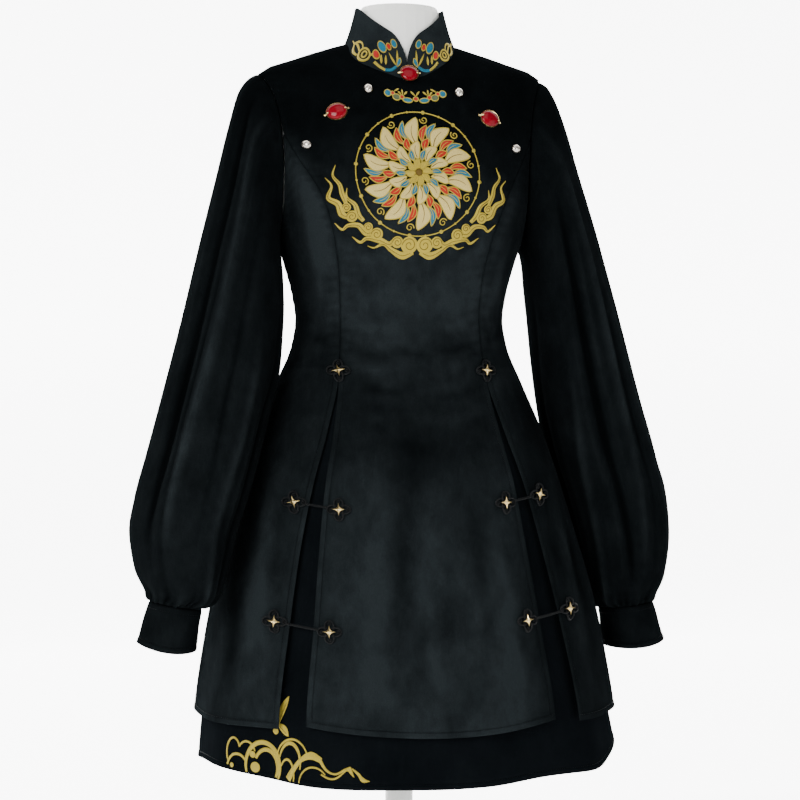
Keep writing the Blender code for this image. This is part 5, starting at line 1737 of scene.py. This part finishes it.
def make_hem_work(looks):
    """A gold cloud scroll at the underskirt's hem, and a sprig of leaves over it."""
    gold = []
    for row in named(HEM_ARCHES):
        at = np.radians(np.linspace(row["start"], row["end"], 60))
        x, z = row["x"] + row["half_wide"] * np.cos(at), row["z"] + row["half_tall"] * np.sin(at)
        wide = taper(60, row["thin"], row["thick"], row["thick"], row["thin"]) * MM
        gold.append(strand(on_hem, np.stack([x, z], 1) * MM, wide))
    for points, sizes in HEM_TAILS:
        line = drawn(points)
        gold.append(strand(on_hem, line, taper(len(line), *sizes) * MM, base=LAYER / 2))
    for x, z, size in HEM_BUDS:
        gold.append(patch(on_hem, ellipse(x * MM, z * MM, size * MM, size * MM), base=LAYER))
    stock = {"gold": gold}
    for start, end, wide, bend in SPRIG:
        edge = leaf(np.array(start) * MM, np.array(end) * MM, wide * MM, bend=bend * MM)
        gold.append(patch(on_hem, edge))
        rib = np.linspace(0.1, 0.8, 12)[:, None]
        line = np.array(start) * MM + rib * (np.array(end) - np.array(start)) * MM
        stock.setdefault("amber", []).append(strand(on_hem, line, FINE_WIDE, FINE_TALL, 0.8 * FILL_TALL))
    gold.append(strand(on_hem, drawn(STALK), 0.0014))
    return sew("hem_work", stock, looks)


@cache
def frogs():
    """Each knot's name and place, and the pairs of knots that a cord joins."""
    knots, pairs = {}, {}
    for tag, side in (("l", 1), ("r", -1)):
        top = float(smooth(PRINCESS, "out", TOP_KNOT_HEIGHT)) * side
        knots["top_" + tag] = (top, TOP_KNOT_HEIGHT)
        for row in named(PAIRS):
            lower = row["right_lower"] if side < 0 else 0.0
            front_height, side_height = row["front_height"] - lower, row["side_height"] - lower
            near = slit_edges(front_height, side)[0] - side * KNOT_IN_FRONT
            far = slit_edges(side_height, side)[1] + side * KNOT_IN_SIDE
            knots[f"{row['name']}_front_{tag}"] = (near, front_height)
            knots[f"{row['name']}_side_{tag}"] = (far, side_height)
            pairs[f"{row['name']}_{tag}"] = sorted([(near, front_height), (far, side_height)])
    return knots, pairs


def fastened():
    """The places of everything that is fastened to the front."""
    jewels = [(row["out"], row["height"]) for row in named(JEWELS)]
    domes = [(row["out"], row["height"]) for row in named(DOMES)]
    return list(frogs()[0].values()) + jewels + domes


def tube(line, radius, sides=8, closed=False, across=FORWARD):
    """A round cord along a line of points in space, which never runs along the way across."""
    line = np.asarray(line)
    ahead = np.roll(line, -1, 0) - np.roll(line, 1, 0) if closed else np.gradient(line, axis=0)
    ahead = ahead / np.linalg.norm(ahead, axis=1, keepdims=True)
    side = np.cross(ahead, across)
    side = side / np.linalg.norm(side, axis=1, keepdims=True)
    up = np.cross(side, ahead)
    turn = np.arange(sides) * 2 * math.pi / sides
    rings = np.cos(turn)[None, :, None] * side[:, None] + np.sin(turn)[None, :, None] * up[:, None]
    points = (line[:, None] + radius * rings).reshape(-1, 3)
    return points, lapped(len(line), sides, closed), np.repeat(ways_along(line), sides)


def make_knot(name, out, height, look):
    """A clover of laid cord: four crossing loops with a small coil in each."""
    at = np.arange(160) * 2 * math.pi / 160
    x = LOOP_ROUND * np.cos(at) + LOOP_LOBE * np.cos(3 * at)
    z = LOOP_ROUND * np.sin(at) - LOOP_LOBE * np.sin(3 * at)
    rise = LIFT + LOOP_CORD * (1.9 - 0.9 * np.cos(8 * at + 0.4))
    parts = [tube(on_front(out + x, height + z, rise), LOOP_CORD, 8, True)]
    for number in range(4):
        turn = number * math.pi / 2
        wind = np.linspace(0.35, 1, 34)
        spin = turn + math.pi + wind * 3.6 * math.pi
        x = out + COIL_AT * math.cos(turn) + COIL_ROUND * wind * np.cos(spin)
        z = height + COIL_AT * math.sin(turn) + COIL_ROUND * wind * np.sin(spin)
        parts.append(tube(on_front(x, z, np.full(len(x), LIFT + COIL_RISE)), COIL_CORD, 6))
    return thread_piece("cords_of_" + name, parts, look)


def make_cord(name, start, end, look):
    """Two plies twisted into a cord that spans the slit."""
    away = np.array(end) - np.array(start)
    away = away / np.linalg.norm(away)
    hold = CORD_HOLD * KNOT_RADIUS * away
    first, last = np.array(start) + hold, np.array(end) - hold
    rise = np.full(2, LIFT + CORD_RADIUS)
    ends = on_front(np.array([first[0], last[0]]), np.array([first[1], last[1]]), rise)
    share = np.linspace(0, 1, 60)[:, None]
    axis = ends[0] + (ends[1] - ends[0]) * share
    axis[:, 1] -= CORD_BOW * np.sin(math.pi * share[:, 0])
    length = np.linalg.norm(ends[1] - ends[0])
    ahead = (ends[1] - ends[0]) / length
    side = np.cross(ahead, FORWARD)
    up = np.cross(side, ahead)
    parts = []
    for start_turn in (0, math.pi):
        turn = start_turn + share * length / PLY_TURN * 2 * math.pi
        parts.append(tube(axis + PLY * 0.85 * (np.cos(turn) * side + np.sin(turn) * up), PLY, 7))
    return thread_piece("plies_of_" + name, parts, look)


def mound(place, centre, reach, rings, twist=0.0, turn=0.0):
    """A closed mound: its reach in each direction, and rings of share and rise."""
    count = len(reach)
    step = np.arange(count) * 2 * math.pi / count + math.radians(turn)
    x, z, rise = [], [], []
    for number, (share, up) in enumerate(rings):
        at = step + twist * number * math.pi / count
        x.append(centre[0] + share * reach * np.cos(at))
        z.append(centre[1] + share * reach * np.sin(at))
        rise.append(np.full(count, up))
    points = place(np.stack(x), np.stack(z), np.stack(rise)).reshape(-1, 3)
    return points, lapped(len(rings), count), np.repeat(np.arange(len(rings)) * MM, count)


def make_star(name, out, height, look):
    """A four-pointed gilt star with a ridge to each tip."""
    at = np.arange(40) * 2 * math.pi / 40
    reach = np.abs(np.cos(at)) ** STAR_POWER + np.abs(np.sin(at)) ** STAR_POWER
    reach = STAR_REACH * reach ** (-1 / STAR_POWER)
    reach = np.maximum(reach, 0.85 * STAR_WAIST)
    rings = [(share, KNOT_HEIGHT + STAR_GAP + up) for share, up in STAR_RINGS]
    part = mound(on_front, (out, height), reach, rings, turn=STAR_TURNS.get(name, 0.0))
    return thread_piece("gilt_of_star_" + name, [part], look, 22)


def oval(half_wide, half_tall, turn, count=56):
    """The reach of a tilted oval stone in each direction."""
    direction = np.arange(count) * 2 * math.pi / count - math.radians(turn)
    return ((np.cos(direction) / half_wide) ** 2 + (np.sin(direction) / half_tall) ** 2) ** -0.5


def make_jewel(row, stone, gilt):
    """An oval cabochon in a thin beaded rim, with a claw at each end."""
    place = on_throat if row["name"] == "neck" else on_front
    centre = (row["out"], row["height"])
    edge = oval(row["half_wide"] + STONE_OVER, row["half_tall"] + STONE_OVER, row["turn"])
    rings = [(0.97, LIFT)]
    for turn in np.linspace(0, math.pi / 2, 12):
        rings.append((math.cos(turn), LIFT + GIRDLE + (JEWEL_RISE - GIRDLE) * math.sin(turn)))
    rings[-1] = (0.03, rings[-1][1])
    made = [thread_piece("stone_of_" + row["name"], [mound(place, centre, edge, rings)], stone)]
    step = np.arange(len(edge)) * 2 * math.pi / len(edge)
    beads = 1 + 0.20 * np.cos(RIM_BEADS * step)
    x, z, rise = [], [], []
    for share, up in RIM_RINGS:
        reach = edge + RIM_GAP + share * RIM_WIDE
        x.append(centre[0] + reach * np.cos(step))
        z.append(centre[1] + reach * np.sin(step))
        rise.append(LIFT + RIM_TALL * up * beads)
    grid = place(np.stack(x), np.stack(z), np.stack(rise)).reshape(-1, 3)
    parts = [(grid, lapped(len(RIM_RINGS), len(edge), True), np.zeros(len(grid)))]
    for around in (0, 180):
        turn = math.radians(row["turn"] + around)
        way = np.array([math.cos(turn), math.sin(turn)])
        around_all, reach_all = np.append(step, 2 * math.pi), np.append(edge, edge[0])
        reach = float(np.interp(turn % (2 * math.pi), around_all, reach_all))
        share = np.linspace(0, 1, 10)
        line = np.array(centre) + (reach + CLAW_OUT - CLAW_LONG * share)[:, None] * way
        base = LIFT + CLAW_RISE * np.clip(2 * share - 0.6, 0, 1) ** 0.7
        parts.append(strand(place, line, taper(10, *CLAW_WIDTHS), CLAW_TALL, base))
    made.append(thread_piece("rim_of_" + row["name"], parts, gilt, 30))
    return made


def make_dome(row, look):
    """A small round dome on a plain rim."""
    edge = np.full(32, DOME_RADIUS)
    rings = [(share, LIFT + up) for share, up in DOME_RINGS]
    part = mound(on_front, (row["out"], row["height"]), edge, rings)
    return thread_piece("facets_of_" + row["name"], [part], look)


def add_painted_light(piece, values):
    """The painted sheen and shade of the pile, for each point."""
    carried = piece.data.attributes.new("nap", "FLOAT", "POINT")
    carried.data.foreach_set("value", values.astype(np.float32))


def crest(relief):
    """How far each grid point stands above its neighbours a few steps away."""
    soft = relief
    steps = range(-3, 4)
    for axis in (0, 1):
        soft = sum(np.roll(soft, step, axis) for step in steps) / len(steps)
    return relief - soft


def nap(points, relief, kind):
    """Painted sheen and shade of the pile: painted shade on the chest, lighter below it, a painted highlight
    along raised folds and painted shade in their troughs.
    """
    x, y, z = np.moveaxis(points, -1, 0)
    rows = np.array(PAINTED_LIGHT_BY_HEIGHT[kind])
    base = np.interp(z, rows[:, 0], rows[:, 1])
    if kind == "body":
        # Painted shade on the chest's sides, and on the wearer's left side front of the skirt, which turns
        # from the lamps
        chest = np.clip((np.abs(x) - CHEST_OUT) / SHADE_FADE, 0, 1) * (z > CHEST_LOW) * (y < 0)
        shade = np.clip((x - SIDE_OUT) / SHADE_FADE, 0, 1) * np.clip((CHEST_LOW - z) / 0.04, 0, 1) * (y < 0)
        base = base * (1 - CHEST_SHADE * chest) * (1 - SIDE_SHADE * shade) + sheen_streaks(x, z) * (y < 0)
    # A painted highlight on raised folds and crests, and painted shade in the troughs beside them
    folds = 1 + relief / FOLD_LIGHT_DEPTH[kind] + crest(relief) / CREST_HIGHLIGHT_DEPTH
    return np.maximum(base, LEAST_PAINTED_LIGHT) * np.clip(folds, *FOLD_LIGHT_LIMITS)


def sheen_streaks(x, z):
    """How much painted sheen lightens, and painted shade darkens, the front's pile along drawn lines."""
    out = np.zeros(x.shape)
    for row in named(SHEEN_STREAKS):
        away, where = nearest(polyline(row["points"]), x, z)
        fade = np.clip(np.sin(math.pi * np.clip(where, 0.04, 0.96)), 0, 1) ** 0.5
        out += row["strength"] * fade * np.exp(-((away / row["wide"]) ** 2))
    return out


# Materials
class Look:
    """A material with its shader, and the nodes that feed it."""

    def __init__(self, name):
        self.material = bpy.data.materials.new(name)
        self.material.use_nodes = True
        self.tree = self.material.node_tree
        self.shader = self.tree.nodes["Principled BSDF"]

    def feed(self, node, inputs):
        """Sets a node's inputs, a value or another node's output each."""
        for key, value in inputs.items():
            if isinstance(value, bpy.types.NodeSocket):
                self.tree.links.new(value, node.inputs[key])
            else:
                node.inputs[key].default_value = value

    def add(self, kind, inputs, output=0, **settings):
        """The output of a new node with its settings and its inputs."""
        node = self.tree.nodes.new("ShaderNode" + kind)
        for key, value in settings.items():
            setattr(node, key, value)
        self.feed(node, inputs)
        return node.outputs[output]

    def noise(self, scale, detail=2.0, rough=0.5, stretch=(1, 1, 1)):
        """Noise in the row frame, from 0 to 1; stretch squeezes it along the axes."""
        place = self.add("Mapping", {"Vector": self.place(), "Scale": stretch})
        return self.add("TexNoise", {"Vector": place, "Scale": scale, "Detail": detail, "Roughness": rough})

    def place(self):
        """The place on the object."""
        return self.add("TexCoord", {}, "Object")

    def mixed(self, share, first, second):
        """Two colours mixed by a share."""
        first, second = (c if isinstance(c, bpy.types.NodeSocket) else (*c, 1) for c in (first, second))
        return self.add("Mix", {0: share, 6: first, 7: second}, 2, data_type="RGBA")

    def spread(self, value, low, high, first=0.0, last=1.0):
        """A value from first to last turned into one from low to high."""
        limits = {"From Min": first, "From Max": last, "To Min": low, "To Max": high}
        return self.add("MapRange", {"Value": value, **limits})

    def maths(self, operation, first, second=0.0):
        """A sum on one or two values."""
        return self.add("Math", {0: first, 1: second}, operation=operation)

    def shaded(self, colour, shade):
        """A colour made darker or lighter by a value."""
        return self.add("VectorMath", {0: colour, "Scale": shade}, operation="SCALE")

    def carried(self, name):
        """A value that the mesh carries at its points."""
        return self.add("Attribute", {}, "Fac", attribute_name=name)

    def winding(self, pitch):
        """A wave along a thread, from 0 to 1."""
        turn = self.maths("MULTIPLY", self.carried("along"), 2 * math.pi / pitch)
        return self.spread(self.maths("SINE", turn), 0.0, 1.0, -1.0)

    def finish(self, colour, rough, layers=(), **values):
        """Feeds the shader: layers are bumps one over the other, each a height and its size in metres."""
        names = {key.replace("_", " "): value for key, value in values.items()}
        self.feed(self.shader, {"Base Color": colour, "Roughness": rough, **names})
        under = {}
        for height, distance in layers:
            normal = self.add("Bump", {"Height": height, "Distance": distance, "Strength": 1.0, **under})
            under = {"Normal": normal}
        self.feed(self.shader, under)
        return self.material


def velvet(name, dark, light):
    """Cut velvet: a soft dark pile that lies in cloudy patches, brushed lighter and darker, with the painted
    sheen and shade that the mesh carries.
    """
    look = Look(name)
    pile = look.noise(1500.0, 3.0, 0.65)
    brushed = look.noise(75.0, 5.0, 0.65, (1.0, 1.0, 0.55))
    patches = look.noise(20.0, 5.0, 0.62, (1.0, 1.0, 0.75))
    tone_and_painted_light = look.spread(brushed, 0.76, 1.24, 0.28, 0.72)
    tone_and_painted_light = look.maths("MULTIPLY", tone_and_painted_light, look.spread(patches, 0.68, 1.34, 0.32, 0.68))
    # Painted sheen and shade that the mesh carries
    tone_and_painted_light = look.maths("MULTIPLY", tone_and_painted_light, look.carried("nap"))
    colour = look.shaded(look.mixed(tone_and_painted_light, dark, light), look.spread(pile, 0.55, 1.45, 0.25, 0.75))
    layers = ((patches, 0.0009), (brushed, 0.0006), (pile, 0.00030))
    return look.finish(colour, look.spread(tone_and_painted_light, 0.80, 0.65), layers, Specular_IOR_Level=0.0,
                       Sheen_Weight=0.006, Sheen_Roughness=0.40, Sheen_Tint=(0.60, 0.72, 0.78, 1))


def plain_cloth(name, dark, light):
    """A close matt weave for the underskirt."""
    look = Look(name)
    threads = []
    for turn in (0, math.pi / 2):
        place = look.add("Mapping", {"Vector": look.place(), "Rotation": (0, turn, 0)})
        inputs = {"Vector": place, "Scale": 260.0, "Distortion": 0.6, "Detail": 1.0}
        threads.append(look.add("TexWave", inputs, "Fac", bands_direction="Z"))
    weave = look.maths("MAXIMUM", *threads)
    mottle = look.noise(22.0, 4.0, 0.6, (1, 1, 0.6))
    colour = look.shaded(look.mixed(mottle, dark, light), look.spread(weave, 0.75, 1.2))
    layers = ((mottle, 0.0012), (weave, 0.00018))
    return look.finish(colour, look.spread(mottle, 0.70, 0.55), layers, Specular_IOR_Level=0.0,
                       Sheen_Weight=0.005, Sheen_Roughness=0.45, Sheen_Tint=(0.62, 0.74, 0.80, 1))


def thread(name, dark, light, metallic, shine=0.15):
    """Satin stitch: fine threads side by side across the line, each with a painted highlight and painted
    shade between them.
    """
    look = Look(name)
    wave, uneven = look.winding(THREAD), look.noise(900.0, 2.0, 0.6)
    # Painted shade between the threads and a painted highlight on each, by the turn along the thread
    colour = look.mixed(look.maths("MULTIPLY", wave, look.spread(uneven, 0.6, 1.4)), dark, light)
    layers = ((wave, 0.00010), (uneven, 0.00006))
    return look.finish(colour, look.spread(uneven, 0.34, 0.52), layers, Metallic=metallic,
                       Specular_IOR_Level=shine)


def braid(name):
    """Black satin cord, with its plies slanting round it, painted lighter on each ply with painted shade
    between them.
    """
    look = Look(name)
    wave, fuzz = look.winding(PLY_PITCH), look.noise(800.0, 3.0, 0.6)
    # Painted shade between the plies and painted sheen on them
    colour = look.mixed(wave, (0.0008, 0.0010, 0.0011), (0.0060, 0.0068, 0.0074))
    layers = ((wave, 0.00022), (fuzz, 0.00008))
    return look.finish(look.shaded(colour, look.spread(fuzz, 0.6, 1.4)), look.spread(fuzz, 0.36, 0.60),
                       layers, Specular_IOR_Level=0.10)


def gilt(name, dark, light, rough):
    """Cast metal with a little tarnish in its hollows and fine scratches."""
    look = Look(name)
    tarnish, scratches = look.noise(260.0, 4.0, 0.6), look.noise(1400.0, 2.0, 0.5, (1.0, 1.0, 0.12))
    return look.finish(look.mixed(tarnish, dark, light), look.spread(tarnish, rough + 0.14, rough - 0.06),
                       ((scratches, 0.00003), (tarnish, 0.00004)), Metallic=1.0)


def red_stone(name):
    """Polished red glass with faint clouds inside, and painted shade towards its rim where its face turns
    from the view.
    """
    look = Look(name)
    clouds = look.noise(320.0, 3.0, 0.6)
    # Painted shade: darker where the stone's face turns away from the view
    facing = look.add("LayerWeight", {"Blend": 0.35}, "Facing")
    deep = look.mixed(clouds, (0.11, 0.0002, 0.004), (0.21, 0.0006, 0.008))
    return look.finish(look.mixed(facing, deep, (0.05, 0.0001, 0.002)), look.spread(clouds, 0.05, 0.12),
                       ((clouds, 0.00004),), Specular_IOR_Level=0.15)


def form_cover(name):
    """Off-white stretched jersey on the dress form."""
    look = Look(name)
    inputs = {"Vector": look.place(), "Scale": 420.0, "Distortion": 0.4}
    ribs, soil = look.add("TexWave", inputs, "Fac", bands_direction="X"), look.noise(9.0, 4.0, 0.6)
    colour = look.mixed(soil, (0.73, 0.74, 0.70), (0.82, 0.82, 0.78))
    return look.finish(colour, look.spread(ribs, 0.80, 0.66), ((soil, 0.0004), (ribs, 0.00012)))


def paint(name):
    """Powder coat on the pole and the foot, a little worn."""
    look = Look(name)
    peel, scuffs = look.noise(700.0, 2.0, 0.5), look.noise(30.0, 6.0, 0.7)
    colour = look.mixed(scuffs, (0.57, 0.58, 0.56), (0.68, 0.68, 0.66))
    return look.finish(colour, look.spread(scuffs, 0.34, 0.55), ((peel, 0.00005),))


def floor_look(name):
    """A pale, nearly white cove, lit from within where it curves up behind the object."""
    look = Look(name)
    colour = look.mixed(look.noise(3.0, 3.0, 0.5), (0.86, 0.86, 0.86), (0.90, 0.90, 0.90))
    back = look.add("SeparateXYZ", {"Vector": look.place()}, "Y")
    glow = look.spread(back, FLOOR_GLOW, COVE_GLOW, *GLOW_FROM)
    return look.finish(colour, 0.7, Emission_Strength=glow, Emission_Color=(1, 1, 1, 1))


# Studio
def stage():
    """A pale floor that curves up far behind."""
    profile = [(-COVE_AWAY - COVE_ROUND, 0.0), (COVE_AWAY, 0.0)]
    for turn in np.linspace(0, math.pi / 2, COVE_STEPS + 1)[1:]:
        profile.append((COVE_AWAY + COVE_ROUND * math.sin(turn), COVE_ROUND * (1 - math.cos(turn))))
    profile.append((COVE_AWAY + COVE_ROUND, COVE_HIGH))
    places = [(x, y, z) for y, z in profile for x in (-COVE_WIDE / 2, COVE_WIDE / 2)]
    mesh = bpy.data.meshes.new("floor")
    mesh.from_pydata(places, [], [(i, i + 1, i + 3, i + 2) for i in range(0, len(places) - 2, 2)])
    mesh.shade_smooth()
    mesh.materials.append(floor_look("floor"))
    shown("floor", mesh)


def light():
    """Soft area lights round the object and a pale world."""
    for row in named(LIGHTS):
        lamp = bpy.data.lights.new(row["name"], "AREA")
        lamp.energy, lamp.size = row["power"], row["size"]
        holder = shown(row["name"], lamp)
        holder.location = row["place"]
        way = Vector(row["aim"]) - Vector(row["place"])
        holder.rotation_euler = way.to_track_quat("-Z", "Y").to_euler()
    world = bpy.data.worlds.new("world")
    world.use_nodes = True
    background = world.node_tree.nodes["Background"].inputs
    background["Color"].default_value = (1, 1, 1, 1)
    background["Strength"].default_value = WORLD_GLOW
    bpy.context.scene.world = world


def settle(piece, slot, node=None):
    """Puts a piece on the root body and hides the node it stands for; the slot is not used."""
    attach(piece, "root")
    if node:
        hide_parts(node)


def declare(piece):
    """Reads what a piece of cloth measures flat and what it rests on, and does nothing with them."""
    row = dict(zip(SHEET_COLUMNS, SHEETS[node_of(piece)]))
    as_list(row["rests_on"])


def make_fastenings():
    """Knots, cords, stars, jewels and domes, each with the node it stands for and its slot."""
    cord, gold = braid("braid"), gilt("gilt", *GILT)
    silver, stone = gilt("silver", *SILVER), red_stone("red_stone")
    made = []
    knots, pairs = frogs()
    for name, (out, height) in knots.items():
        made.append((make_knot(name, out, height, cord), "knot_" + name, "braid"))
        made.append((make_star(name, out, height, gold), "star_" + name, "gilt"))
    for name, (start, end) in pairs.items():
        made.append((make_cord(name, start, end, cord), "cord_" + name, "braid"))
    for row in named(JEWELS):
        gem, rim = make_jewel(row, stone, gold)
        made += [(gem, "jewel_" + row["name"], "red_stone"), (rim, "setting_" + row["name"], "gilt")]
    for row in named(DOMES):
        made.append((make_dome(row, silver), "dome_" + row["name"], "silver"))
    return made


def make_cloths():
    """All pieces of cloth, each put on the root body in place of its node."""
    pile, weave = velvet("velvet", *PILE_TONES), plain_cloth("plain_cloth", *WEAVE_TONES)
    black = thread("thread_black", *BLACK_THREAD)
    made = make_fronts((pile, black)) + make_backs((pile, black)) + make_sleeves(pile)
    made += make_collars(pile)
    made += make_underskirts((weave, black)) + make_cuffs((pile, black))
    for piece in made:
        slot = "plain_cloth" if piece.name.startswith("under") else "velvet"
        settle(piece, slot, node_of(piece))
    return made


def main():
    """Builds everything."""
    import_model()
    camera()
    stage()
    light()
    cloths, attached = make_cloths(), []
    for piece, node, slot in make_fastenings():
        settle(piece, slot, node)
        attached.append(piece)
    looks = {name: thread("thread_" + name, *row) for name, row in THREADS.items()}
    threads = make_medallion(looks) + make_arc(looks) + make_collar_work(looks) + make_hem_work(looks)
    for piece in threads:
        settle(piece, "gilt" if piece.name.endswith("gold") else "braid")
    for cloth in cloths:
        declare(cloth)
    nodes = bpy.data.objects
    nodes["form"].data.materials[0] = form_cover("form_cover")
    for name in ("pole", "foot"):
        nodes[name].data.materials[0] = paint("stand_paint")


main()
